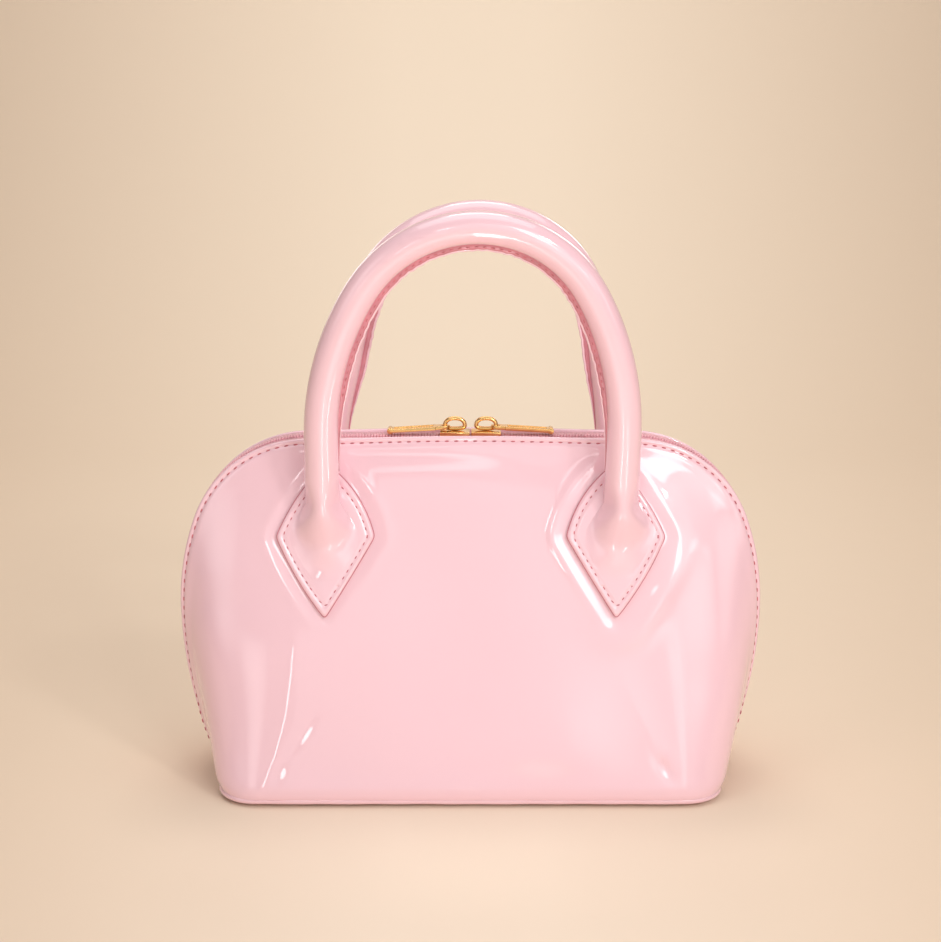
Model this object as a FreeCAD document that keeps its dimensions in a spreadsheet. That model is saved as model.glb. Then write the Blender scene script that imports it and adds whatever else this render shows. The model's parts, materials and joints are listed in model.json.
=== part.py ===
"""Dome-shaped top handle bag in patent leather, as a parametric FreeCAD document in millimetres.

Two bent leather panels stand on a rounded rectangular base and meet a narrow band that runs round the
dome: a zip with two sliders over the top and a leather gusset on each lower side. Each panel carries one
rolled handle on two diamond tabs. The origin is under the middle of the base, +Z is up, the front faces -Y.
"""

import FreeCAD
import Part

import math
import os

import Sketcher
from FreeCAD import Placement, Rotation, Vector

# Driving dimensions: alias, millimetres or degrees, meaning.
SIZES = (
    ("body_width", 217.5, "widest width of the dome"),
    ("dome_height", 62.8, "from the widest level up to the crown"),
    ("widest_height", 67.8, "from the floor up to the widest level"),
    ("shoulder_radius", 45.5, "dome outline beside the straight crown"),
    ("side_radius", 95.0, "dome outline from the shoulder down to the widest level"),
    ("side_flare", 13.0, "how far each base end lies inside the widest width"),
    ("base_depth", 88.0, "front to back at the base"),
    ("base_corner_radius", 24.0, "rounded corners of the base"),
    ("band_width", 18.0, "between the outer faces of the two panel edges"),
    ("leather_thickness", 1.6, "panels and gussets"),
    ("stiffener_thickness", 1.0, "board glued behind each panel"),
    ("lining_thickness", 0.6, "cloth lining"),
    ("layer_gap", 0.15, "glue line between layers"),
    ("rim_inset", 2.5, "how far the inner layers stop short of the panel edge"),
    ("first_ruling", 2.5, "height of the panel where it meets the gusset's foot"),
    ("base_thickness", 1.6, "leather under the base"),
    ("base_inset", 2.4, "base leather inside the base outline"),
    ("piping_radius", 1.4, "corded piping in the base seam"),
    ("piping_inset", 0.9, "centre of the piping inside the base outline"),
    ("base_board_thickness", 2.0, "stiff board inside the base"),
    ("zip_recess", 0.8, "zip tape below the panel edge"),
    ("tape_thickness", 0.6, "woven zip tape"),
    ("tape_clearance", 0.4, "between the tape or gusset edge and the panel"),
    ("chain_width", 2.3, "one half of the zip chain"),
    ("chain_thickness", 1.9, "zip chain, centred on the tape"),
    ("chain_gap", 1.2, "between the two chain halves"),
    ("slider_length", 11.0, "slider along the zip"),
    ("slider_width", 8.8, "slider across its mouth"),
    ("slider_tail_width", 7.2, "slider across its tail"),
    ("slider_plate", 1.1, "top and bottom plate of the slider"),
    ("slider_clearance", 0.3, "slider to chain and tape"),
    ("slider_parting", 0.6, "between the two sliders when the zip is shut"),
    ("post_length", 3.5, "wedge that joins the slider plates"),
    ("post_setback", 0.5, "wedge behind the slider's mouth"),
    ("bail_radius", 4.0, "centre line of the slider's half-round bail"),
    ("bail_wire_radius", 0.75, "wire of the bail"),
    ("bail_leg", 1.6, "straight foot of the bail above the slider"),
    ("pull_reach", 25.2, "from the bail's centre to the end of the pull"),
    ("pull_width", 5.6, "flat of the pull"),
    ("pull_neck_width", 4.4, "eye end of the pull"),
    ("pull_thickness", 1.4, "pull plate"),
    ("pull_eye_clearance", 0.35, "bail wire in the eye"),
    ("pull_eye_rim", 1.0, "metal round the eye"),
    ("pull_end_radius", 1.1, "rolled end of the pull"),
    ("pull_recess", 0.35, "sunk field on both faces of the pull"),
    ("pull_border", 0.9, "raised border of the pull"),
    ("pull_droop", 3.4, "angle of the resting pull below level"),
    ("handle_margin", 10.1, "handle leg inside the edge of the panel's flat front, at the tabs"),
    ("handle_leg_length", 26.0, "straight leg above the tab"),
    ("handle_leg_radius", 103.0, "gentle bend of the leg"),
    ("handle_top_angle", 60.0, "half the sweep of the top bend"),
    ("handle_lean", 8.0, "outward lean of a handle at rest"),
    ("core_radius", 4.4, "cord core of a handle"),
    ("core_fit", 0.1, "core in its leather wrap"),
    ("wrap_root_radius", 6.6, "handle at its root"),
    ("wrap_crown_radius", 5.7, "handle at its crown"),
    ("seam_fin_height", 2.2, "sewn seam allowance on the inner side of the handle"),
    ("seam_fin_thickness", 1.8, "two layers of leather at that seam"),
    ("seam_fin_turn", 20.0, "that seam turned from the inner side towards the bag"),
    ("root_clearance", 0.35, "handle root in its tab"),
    ("tab_width", 34.0, "diamond tab between its side corners"),
    ("tab_lower_length", 29.0, "side corners down to the tip"),
    ("tab_upper_length", 27.0, "side corners up to the top point"),
    ("tab_bow", 1.4, "outward bow of the tab's edges"),
    ("tab_thickness", 1.6, "tab leather"),
    ("tab_floor", 0.4, "thinned tab leather under the handle root"),
    ("tab_height", 98.0, "side corners of the tabs above the floor"),
    ("root_rise", 10.0, "handle root above the tab's side corners"),
    ("hood_length", 27.0, "swelling of the tab below the handle root"),
    ("hood_top_radius", 6.6, "swelling under the root"),
    ("hood_tip_radius", 2.4, "swelling where it fades out"),
    ("hood_rise", 3.5, "axis of the swelling above the panel at the root"),
    ("hood_drop", 4.2, "fall of that axis towards the tip"),
    ("backing_width", 15.0, "patch behind each tab"),
    ("backing_length", 36.0, "patch behind each tab"),
    ("backing_thickness", 0.8, "patch behind each tab"),
    ("backing_drop", 4.0, "middle of the patch below the tab's side corners"),
)


class Sizes:
    """The values of the spreadsheet, read by alias."""

    def __init__(self, sheet):
        for alias, _, _ in SIZES:
            setattr(self, alias, float(sheet.get(alias)))


doc = FreeCAD.newDocument("TopHandleBag")
sheet = doc.addObject("Spreadsheet::Sheet", "Sizes")
for row, (alias, number, meaning) in enumerate(SIZES, start=1):
    sheet.set(f"A{row}", meaning)
    sheet.set(f"B{row}", str(number))
    sheet.setAlias(f"B{row}", alias)
doc.recompute()
size = Sizes(sheet)

pieces = []

X_AXIS = Vector(1, 0, 0)
Y_AXIS = Vector(0, 1, 0)
Z_AXIS = Vector(0, 0, 1)


# Shared levels and outlines

base_half = size.body_width / 2 - size.side_flare
crown_height = size.widest_height + size.dome_height
piping_height = size.base_thickness + size.layer_gap + size.piping_radius
panel_foot = piping_height + size.piping_radius + size.layer_gap
seam_radius = (size.side_flare**2 + (size.widest_height - panel_foot) ** 2) / (2 * size.side_flare)
shoulder_drop = size.dome_height - size.shoulder_radius
crown_half = (
    size.body_width / 2
    - size.side_radius
    + math.sqrt((size.side_radius - size.shoulder_radius) ** 2 - shoulder_drop**2)
)
stiffener_depth = size.leather_thickness + size.layer_gap
backing_depth = stiffener_depth + size.stiffener_thickness + size.layer_gap
lining_depth = backing_depth + size.backing_thickness + size.layer_gap
band_half = size.band_width / 2
strip_half = band_half - size.leather_thickness - size.tape_clearance
chain_inner = size.chain_gap / 2
chain_outer = chain_inner + size.chain_width
tape_top = crown_height - size.zip_recess
tape_middle = tape_top - size.tape_thickness / 2


def keep(obj, label):
    """Labels a finished sub-part and lists it for export."""
    obj.Label = label
    pieces.append(obj)
    return obj


def bind(obj, **expressions):
    """Binds properties to expressions on the spreadsheet; a double underscore stands for a dot."""
    for name, text in expressions.items():
        obj.setExpression(name.replace("__", "."), text)
    return obj


def mirrored(source, label, normal):
    """A mirror image of a piece through the origin."""
    copy = doc.addObject("Part::Mirroring", label)
    copy.Source = source
    copy.Normal = normal
    return keep(copy, label)


def arc(a, b, c):
    """Circular edge through three points."""
    return Part.Arc(a, b, c).toShape()


def on_circle(centre, radius, degrees):
    """A point of a circle in the XZ plane, with the angle measured from +X towards +Z."""
    turn = math.radians(degrees)
    return Vector(centre.x + radius * math.cos(turn), centre.y, centre.z + radius * math.sin(turn))


def circle_span(centre, radius, start, end):
    """An arc in the XZ plane between two angles in degrees."""
    return arc(*(on_circle(centre, radius, a) for a in (start, (start + end) / 2, end)))


def dome_edges(depth, inset):
    """The dome outline from the left foot over the crown to the right foot, as seven tangent edges.

    depth moves it in from the panel's outer face towards the zip, inset draws it in from the outline.
    """
    y = -band_half + depth
    joint = math.degrees(math.asin(shoulder_drop / (size.side_radius - size.shoulder_radius)))
    shoulder = Vector(crown_half, y, crown_height - size.shoulder_radius)
    side = Vector(size.body_width / 2 - size.side_radius, y, size.widest_height)
    seam = Vector(size.body_width / 2 - seam_radius, y, size.widest_height)
    foot_drop = size.widest_height - panel_foot - size.first_ruling
    foot = -math.degrees(math.asin(foot_drop / (seam_radius - inset)))
    spans = (
        (seam, seam_radius - inset, foot, 0.0),
        (side, size.side_radius - inset, 0.0, joint),
        (shoulder, size.shoulder_radius - inset, joint, 90.0),
    )
    left = [
        circle_span(Vector(-c.x, c.y, c.z), r, 180 - start, 180 - end) for c, r, start, end in spans
    ]
    right = [circle_span(c, r, end, start) for c, r, start, end in reversed(spans)]
    top = crown_height - inset
    crown = Part.LineSegment(Vector(-crown_half, y, top), Vector(crown_half, y, top)).toShape()
    return [*left, crown, *right]


def base_edges(depth):
    """The front half of the base outline from left to right, as seven edges that face the dome's seven."""
    half = base_half - depth
    front = size.base_depth / 2 - depth
    radius = size.base_corner_radius - depth
    diagonal = radius * math.sqrt(0.5)

    def corner(side):
        middle = Vector(side * (half - radius), -(front - radius), panel_foot)
        return [
            middle + Vector(side * radius * math.cos(a), -radius * math.sin(a), 0)
            for a in (0, math.pi / 8, math.pi / 4, 3 * math.pi / 8, math.pi / 2)
        ]

    left, right = corner(-1), corner(1)
    start = Vector(-half, -band_half + depth, panel_foot)
    end = Vector(half, -band_half + depth, panel_foot)
    return [
        Part.LineSegment(start, left[0]).toShape(),
        arc(left[0], left[1], left[2]),
        arc(left[2], left[3], left[4]),
        Part.LineSegment(left[4], right[4]).toShape(),
        arc(right[4], right[3], right[2]),
        arc(right[2], right[1], right[0]),
        Part.LineSegment(right[0], end).toShape(),
    ]


# Leather panels and their inner layers


def ruled_wall(outer, inner):
    """A bent sheet as a solid between two ruled skins; each skin is (base edges, dome edges)."""
    faces = []
    for n in range(len(outer[0])):
        for a, b in ((outer[0], outer[1]), (inner[0], inner[1]), (outer[0], inner[0]), (outer[1], inner[1])):
            faces.append(Part.makeRuledSurface(a[n], b[n]))
    for end in (0, -1):
        rims = [
            Part.LineSegment(a[end].Vertexes[end].Point, b[end].Vertexes[end].Point).toShape()
            for a, b in zip(outer, inner)
        ]
        faces.append(Part.makeRuledSurface(*rims))
    shell = Part.Shell(faces)
    shell.sewShape()
    solid = Part.Solid(shell)
    if solid.Volume < 0:
        solid.reverse()
    return solid


def bent_layer(label, depth, thickness, inset):
    """A layer of the front wall, and its mirror image for the back."""
    skins = [(base_edges(d), dome_edges(d, inset)) for d in (depth, depth + thickness)]
    layer = doc.addObject("Part::Feature", f"front_{label}")
    layer.Shape = ruled_wall(*skins)
    keep(layer, f"front_{label}")
    mirrored(layer, f"back_{label}", Y_AXIS)


bent_layer("panel", 0.0, size.leather_thickness, 0.0)
bent_layer("stiffener", stiffener_depth, size.stiffener_thickness, size.rim_inset)
bent_layer("lining", lining_depth, size.lining_thickness, size.rim_inset)


# Base

BASE_LENGTH = "(Sizes.body_width - 2 * Sizes.side_flare)"
PIPING_HEIGHT = "(Sizes.base_thickness + Sizes.layer_gap + Sizes.piping_radius)"
BOARD_INSET = "(Sizes.piping_inset + Sizes.piping_radius + 2 * Sizes.layer_gap)"
BOARD_LEVEL = "(Sizes.base_thickness + Sizes.layer_gap)"


def slab(label, inset, thickness, level):
    """A rounded rectangular sheet that lies in the base."""
    body = doc.addObject("PartDesign::Body", label)
    box = body.newObject("PartDesign::AdditiveBox", f"{label}_sheet")
    length = f"({BASE_LENGTH} - 2 * {inset})"
    width = f"(Sizes.base_depth - 2 * {inset})"
    bind(box, Length=length, Width=width, Height=thickness)
    doc.recompute()
    upright = [
        f"Edge{n}"
        for n, edge in enumerate(box.Shape.Edges, start=1)
        if abs(edge.tangentAt(edge.FirstParameter).z) > 0.9
    ]
    corners = body.newObject("PartDesign::Fillet", f"{label}_corners")
    corners.Base = (box, upright)
    bind(corners, Radius=f"Sizes.base_corner_radius - {inset}")
    bind(
        body,
        Placement__Base__x=f"-{length} / 2",
        Placement__Base__y=f"-{width} / 2",
        Placement__Base__z=level,
    )
    return keep(body, label)


def piping():
    """The corded edge of the base as four straight runs and four corner bends."""
    runs = []
    inset = "Sizes.piping_inset"
    spans = (
        (f"{BASE_LENGTH} - 2 * Sizes.base_corner_radius", f"Sizes.base_depth / 2 - {inset}"),
        ("Sizes.base_depth - 2 * Sizes.base_corner_radius", f"{BASE_LENGTH} / 2 - {inset}"),
    )
    corner_x = f"({BASE_LENGTH} / 2 - Sizes.base_corner_radius)"
    corner_y = "(Sizes.base_depth / 2 - Sizes.base_corner_radius)"
    for turn in range(4):
        length, reach = spans[turn % 2]
        sign_x, sign_y = ((1, -1), (1, 1), (-1, 1), (-1, -1))[turn]
        along, across = ("x", "y") if turn % 2 == 0 else ("y", "x")
        side = sign_y if turn % 2 == 0 else sign_x
        run = doc.addObject("Part::Cylinder", f"piping_run_{turn}")
        run.Placement.Rotation = Rotation(Y_AXIS, 90) if turn % 2 == 0 else Rotation(X_AXIS, -90)
        bind(run, Radius="Sizes.piping_radius", Height=length)
        run.setExpression(f"Placement.Base.{along}", f"-({length}) / 2")
        run.setExpression(f"Placement.Base.{across}", f"{side} * ({reach})")
        run.setExpression("Placement.Base.z", PIPING_HEIGHT)
        bend = doc.addObject("Part::Torus", f"piping_bend_{turn}")
        bend.Angle3 = 90
        bend.Placement.Rotation = Rotation(Z_AXIS, 90 * turn - 90)
        bind(
            bend,
            Radius1=f"Sizes.base_corner_radius - {inset}",
            Radius2="Sizes.piping_radius",
            Placement__Base__x=f"{sign_x} * {corner_x}",
            Placement__Base__y=f"{sign_y} * {corner_y}",
            Placement__Base__z=PIPING_HEIGHT,
        )
        runs += [run, bend]
    ring = doc.addObject("Part::MultiFuse", "base_piping")
    ring.Shapes = runs
    return keep(ring, "base_piping")


slab("base_panel", "Sizes.base_inset", "Sizes.base_thickness", "0")
slab("base_board", BOARD_INSET, "Sizes.base_board_thickness", BOARD_LEVEL)
slab(
    "base_lining",
    BOARD_INSET,
    "Sizes.lining_thickness",
    f"{BOARD_LEVEL} + Sizes.base_board_thickness + Sizes.layer_gap",
)
piping()


# Zip tapes, chain halves and side gussets

CROWN_HEIGHT = "(Sizes.widest_height + Sizes.dome_height)"
STRIP_HALF = "(Sizes.band_width / 2 - Sizes.leather_thickness - Sizes.tape_clearance)"
CHAIN_INNER = "(Sizes.chain_gap / 2)"
CHAIN_OUTER = "(Sizes.chain_gap / 2 + Sizes.chain_width)"
TAPE_DEPTH = "(Sizes.zip_recess + Sizes.tape_thickness / 2)"
PANEL_FOOT = f"({PIPING_HEIGHT} + Sizes.piping_radius + Sizes.layer_gap)"
FOOT_DROP = f"(Sizes.widest_height - {PANEL_FOOT})"
SEAM_RADIUS = f"((Sizes.side_flare ^ 2 + {FOOT_DROP} ^ 2) / (2 * Sizes.side_flare))"


def sketch_in(body, name, role):
    """A sketch on one of the body's own origin planes."""
    sketch = body.newObject("Sketcher::SketchObject", name)
    plane = next(f for f in body.Origin.OriginFeatures if f.Role == role)
    sketch.AttachmentSupport = [(plane, "")]
    sketch.MapMode = "FlatFace"
    return sketch


def dimension(sketch, name, expression, kind, *places):
    """A named dimension, given its present value and then bound to an expression."""
    if kind == "Radius":
        value = sketch.Geometry[places[0]].Radius
    else:
        ends = [sketch.getPoint(places[n], places[n + 1]) for n in (0, 2)]
        value = ends[1].x - ends[0].x if kind == "DistanceX" else ends[1].y - ends[0].y
    number = sketch.addConstraint(Sketcher.Constraint(kind, *places, value))
    sketch.renameConstraint(number, name)
    sketch.setExpression(f"Constraints.{name}", expression)


def rectangle(sketch, left, right, low, high):
    """A rectangle with each side bound to its distance from the origin."""
    corners = [Vector(0, 0, 0), Vector(1, 0, 0), Vector(1, 1, 0), Vector(0, 1, 0)]
    for n in range(4):
        sketch.addGeometry(Part.LineSegment(corners[n], corners[(n + 1) % 4]))
    for n in range(4):
        sketch.addConstraint(Sketcher.Constraint("Coincident", n, 2, (n + 1) % 4, 1))
        sketch.addConstraint(Sketcher.Constraint("Vertical" if n % 2 else "Horizontal", n))
    dimension(sketch, "left_side", left, "DistanceX", -1, 1, 0, 1)
    dimension(sketch, "right_side", right, "DistanceX", -1, 1, 1, 1)
    dimension(sketch, "low_side", low, "DistanceY", -1, 1, 0, 1)
    dimension(sketch, "high_side", high, "DistanceY", -1, 1, 2, 1)


def zip_path(body):
    """The dome outline between the two widest points, as the path of a zip piece."""
    sketch = sketch_in(body, "path", "XZ_Plane")
    joint = math.asin(shoulder_drop / (size.side_radius - size.shoulder_radius))
    side_x = size.body_width / 2 - size.side_radius
    shoulder_z = crown_height - size.shoulder_radius
    level = Vector(0, 0, 1)

    def bend(x, z, radius, start, end):
        return Part.ArcOfCircle(Part.Circle(Vector(x, z, 0), level, radius), start, end)

    sketch.addGeometry(bend(side_x, size.widest_height, size.side_radius, 0, joint))
    sketch.addGeometry(bend(crown_half, shoulder_z, size.shoulder_radius, joint, math.pi / 2))
    sketch.addGeometry(
        Part.LineSegment(Vector(crown_half, crown_height, 0), Vector(-crown_half, crown_height, 0))
    )
    sketch.addGeometry(bend(-crown_half, shoulder_z, size.shoulder_radius, math.pi / 2, math.pi - joint))
    sketch.addGeometry(bend(-side_x, size.widest_height, size.side_radius, math.pi - joint, math.pi))
    for n in range(4):
        sketch.addConstraint(Sketcher.Constraint("Tangent", n, 2, n + 1, 1))
    sketch.addConstraint(Sketcher.Constraint("Symmetric", 2, 1, 2, 2, -2))
    sketch.addConstraint(Sketcher.Constraint("Equal", 1, 3))
    sketch.addConstraint(Sketcher.Constraint("Equal", 0, 4))
    sketch.addConstraint(Sketcher.Constraint("Horizontal", 0, 3, 0, 1))
    sketch.addConstraint(Sketcher.Constraint("Horizontal", 4, 3, 4, 2))
    dimension(sketch, "shoulder", "Sizes.shoulder_radius", "Radius", 1)
    dimension(sketch, "side", "Sizes.side_radius", "Radius", 0)
    dimension(sketch, "crown", CROWN_HEIGHT, "DistanceY", -1, 1, 2, 1)
    dimension(sketch, "widest", "Sizes.body_width / 2", "DistanceX", -1, 1, 0, 1)
    dimension(sketch, "right_end", "Sizes.widest_height", "DistanceY", -1, 1, 0, 1)
    dimension(sketch, "left_end", "Sizes.widest_height", "DistanceY", -1, 1, 4, 2)
    return sketch


def zip_strip(label, near, far, thickness):
    """A strip of the zip's front half that follows the dome, and its mirror image for the back half."""
    body = doc.addObject("PartDesign::Body", f"front_{label}")
    profile = sketch_in(body, "profile", "XY_Plane")
    bind(profile, AttachmentOffset__Base__z="Sizes.widest_height")
    middle = f"Sizes.body_width / 2 - {TAPE_DEPTH}"
    rectangle(profile, f"{middle} - {thickness} / 2", f"{middle} + {thickness} / 2", f"-{far}", f"-{near}")
    path = zip_path(body)
    doc.recompute()
    strip = body.newObject("PartDesign::AdditivePipe", "strip")
    strip.Profile = profile
    strip.Spine = path
    doc.recompute()
    keep(body, f"front_{label}")
    mirrored(body, f"back_{label}", Y_AXIS)


def gusset():
    """The leather strip between the panels below the zip, right side and mirrored left side."""
    recess = "Sizes.zip_recess / 2"
    sectors = []
    for name, depth in (("outer", recess), ("inner", f"{recess} + Sizes.leather_thickness")):
        sector = doc.addObject("Part::Cylinder", f"gusset_{name}")
        sector.Placement.Rotation = Rotation(X_AXIS, 90)
        sector.setExpression("Angle", f"asin({FOOT_DROP} / {SEAM_RADIUS})")
        bind(sector, Radius=f"{SEAM_RADIUS} - ({depth})", Height=f"2 * {STRIP_HALF}")
        bind(
            sector,
            Placement__Base__x=f"Sizes.body_width / 2 - {SEAM_RADIUS}",
            Placement__Base__y=STRIP_HALF,
            Placement__Base__z="Sizes.widest_height",
        )
        sweep = math.degrees(math.asin((size.widest_height - panel_foot) / seam_radius))
        sector.Placement.Rotation = Rotation(X_AXIS, 90) * Rotation(Z_AXIS, -sweep)
        sectors.append(sector)
    strip = doc.addObject("Part::Cut", "right_gusset")
    strip.Base, strip.Tool = sectors
    keep(strip, "right_gusset")
    mirrored(strip, "left_gusset", X_AXIS)


zip_strip("zip_tape", CHAIN_OUTER, STRIP_HALF, "Sizes.tape_thickness")
zip_strip("zip_chain", CHAIN_INNER, CHAIN_OUTER, "Sizes.chain_thickness")
gusset()


# Zip sliders and pulls

TAPE_MIDDLE = f"({CROWN_HEIGHT} - {TAPE_DEPTH})"
CHANNEL_HALF = "(Sizes.chain_thickness / 2 + Sizes.slider_clearance)"
SLIDER_TOP = f"({TAPE_MIDDLE} + {CHANNEL_HALF} + Sizes.slider_plate)"
SLIDER_START = "(Sizes.slider_parting / 2)"
BAIL_X = f"({SLIDER_START} + Sizes.slider_length / 2)"
BAIL_Z = f"({SLIDER_TOP} + Sizes.bail_leg)"


def box(name, x, y, z):
    """A block bound to its (low, high) expressions along each axis."""
    block = doc.addObject("Part::Box", name)
    for side, axis, (low, high) in zip(("Length", "Width", "Height"), "xyz", (x, y, z)):
        block.setExpression(side, f"({high}) - ({low})")
        block.setExpression(f"Placement.Base.{axis}", low)
    return block


def cylinder(name, radius, height, **place):
    """A round bar bound to expressions; place gives the coordinates of its foot."""
    bar = doc.addObject("Part::Cylinder", name)
    bind(bar, Radius=radius, Height=height)
    for axis, text in place.items():
        bar.setExpression(f"Placement.Base.{axis}", text)
    return bar


def fused(name, *shapes):
    """The union of several solids."""
    union = doc.addObject("Part::MultiFuse", name)
    union.Shapes = list(shapes)
    return union


def cut(name, base, *tools):
    """A solid less one or more others."""
    result = doc.addObject("Part::Cut", name)
    result.Base = base
    result.Tool = tools[0] if len(tools) == 1 else fused(f"{name}_tools", *tools)
    return result


def slider():
    """The right slider: two flanged plates round the chain, joined by a wedge at the mouth."""
    half = CHANNEL_HALF
    block = doc.addObject("Part::Wedge", "slider_block")
    block.Placement.Rotation = Rotation(Z_AXIS, -90)
    bind(
        block,
        Ymin=SLIDER_START,
        Ymax=f"{SLIDER_START} + Sizes.slider_length",
        Xmin="-Sizes.slider_width / 2",
        Xmax="Sizes.slider_width / 2",
        X2min="-Sizes.slider_tail_width / 2",
        X2max="Sizes.slider_tail_width / 2",
        Zmin=f"-{half} - Sizes.slider_plate",
        Z2min=f"-{half} - Sizes.slider_plate",
        Zmax=f"{half} + Sizes.slider_plate",
        Z2max=f"{half} + Sizes.slider_plate",
        Placement__Base__z=TAPE_MIDDLE,
    )
    length = (f"{SLIDER_START} - 1", f"{SLIDER_START} + Sizes.slider_length + 1")
    wide = f"({CHAIN_OUTER} + Sizes.slider_clearance)"
    channel = box(
        "slider_channel",
        length,
        (f"-{wide}", wide),
        (f"{TAPE_MIDDLE} - {half}", f"{TAPE_MIDDLE} + {half}"),
    )
    slit = "(Sizes.tape_thickness / 2 + Sizes.slider_clearance)"
    slot = box(
        "slider_slot",
        length,
        ("-Sizes.slider_width", "Sizes.slider_width"),
        (f"{TAPE_MIDDLE} - {slit}", f"{TAPE_MIDDLE} + {slit}"),
    )
    plates = cut("slider_plates", block, channel, slot)
    thin = f"({CHAIN_INNER} - Sizes.slider_clearance)"
    mouth = f"({SLIDER_START} + Sizes.post_setback)"
    tall = f"({half} + Sizes.slider_plate / 2)"
    post = box(
        "slider_post",
        (mouth, f"{mouth} + Sizes.post_length"),
        (f"-{thin}", thin),
        (f"{TAPE_MIDDLE} - {tall}", f"{TAPE_MIDDLE} + {tall}"),
    )
    body = keep(fused("right_slider_body", plates, post), "right_slider_body")
    mirrored(body, "left_slider_body", X_AXIS)


def bail():
    """The right slider's half-round bail on its two straight feet."""
    bow = doc.addObject("Part::Torus", "bail_bow")
    bow.Angle3 = 180
    bow.Placement.Rotation = Rotation(X_AXIS, 90)
    bind(
        bow,
        Radius1="Sizes.bail_radius",
        Radius2="Sizes.bail_wire_radius",
        Placement__Base__x=BAIL_X,
        Placement__Base__z=BAIL_Z,
    )
    feet = []
    for n, sign in enumerate("+-"):
        foot = cylinder(f"bail_foot_{n}", "Sizes.bail_wire_radius", "Sizes.bail_leg", z=SLIDER_TOP)
        bind(foot, Placement__Base__x=f"{BAIL_X} {sign} Sizes.bail_radius")
        feet.append(foot)
    body = keep(fused("right_slider_bail", bow, *feet), "right_slider_bail")
    mirrored(body, "left_slider_bail", X_AXIS)


def pull():
    """The right pull: a bordered plate with an eye round the bail and a rolled end, drooping at rest."""
    low, high = "-Sizes.pull_thickness / 2", "Sizes.pull_thickness / 2"
    wide = ("-Sizes.pull_width / 2", "Sizes.pull_width / 2")
    narrow = ("-Sizes.pull_neck_width / 2", "Sizes.pull_neck_width / 2")
    hole = "(Sizes.bail_wire_radius + Sizes.pull_eye_clearance)"
    shoulder = f"(Sizes.bail_radius + {hole} + 2 * Sizes.pull_eye_rim)"
    end = "(Sizes.pull_reach - Sizes.pull_end_radius)"
    plate = box("pull_plate", (shoulder, end), wide, (low, high))
    neck = box("pull_neck", ("Sizes.bail_radius", f"{shoulder} + Sizes.pull_border"), narrow, (low, high))
    eye = cylinder("pull_eye", narrow[1], "Sizes.pull_thickness", x="Sizes.bail_radius", z=low)
    roll = cylinder("pull_roll", "Sizes.pull_end_radius", "Sizes.pull_width", x=end, y="Sizes.pull_width / 2")
    roll.Placement.Rotation = Rotation(X_AXIS, 90)
    bore = cylinder("pull_bore", hole, "2 * Sizes.pull_thickness", x="Sizes.bail_radius")
    bind(bore, Placement__Base__z="-Sizes.pull_thickness")
    field = (f"{shoulder} + Sizes.pull_border", f"{end} - Sizes.pull_end_radius - Sizes.pull_border / 2")
    across = ("-Sizes.pull_width / 2 + Sizes.pull_border", "Sizes.pull_width / 2 - Sizes.pull_border")
    sunk = "(Sizes.pull_thickness / 2 - Sizes.pull_recess)"
    upper = box("pull_upper_field", field, across, (sunk, "Sizes.pull_thickness"))
    lower = box("pull_lower_field", field, across, ("-Sizes.pull_thickness", f"-{sunk}"))
    body = cut("right_pull", fused("pull_blank", plate, neck, eye, roll), bore, upper, lower)
    body.Placement.Rotation = Rotation(Y_AXIS, size.pull_droop)
    bind(body, Placement__Base__x=BAIL_X, Placement__Base__z=BAIL_Z)
    keep(body, "right_pull")
    mirrored(body, "left_pull", X_AXIS)


slider()
bail()
pull()


# Diamond tabs and the patches behind them


def front_frame(depth, inset, x, height):
    """A frame on the flat front of one layer: its X runs along the bag, Y up the layer and Z outwards."""
    foot_y = -size.base_depth / 2 + depth
    slope = (foot_y + band_half - depth) / (panel_foot - crown_height + inset)
    point = Vector(x, foot_y + slope * (height - panel_foot), height)
    return Placement(point, Rotation(X_AXIS, 90 - math.degrees(math.atan(slope))))


flat_foot = base_half - size.base_corner_radius
tab_share = (size.tab_height - panel_foot) / (crown_height - panel_foot)
leg_x = flat_foot + tab_share * (crown_half - flat_foot) - size.handle_margin
tab_frame = front_frame(0.0, 0.0, leg_x, size.tab_height)
root_lift = size.wrap_root_radius + size.root_clearance + size.tab_floor
handle_root = tab_frame.multVec(Vector(0, size.root_rise, root_lift))
ROOT_LIFT = "(Sizes.wrap_root_radius + Sizes.root_clearance + Sizes.tab_floor)"
ROOT_BORE = "(Sizes.wrap_root_radius + Sizes.root_clearance)"


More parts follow.
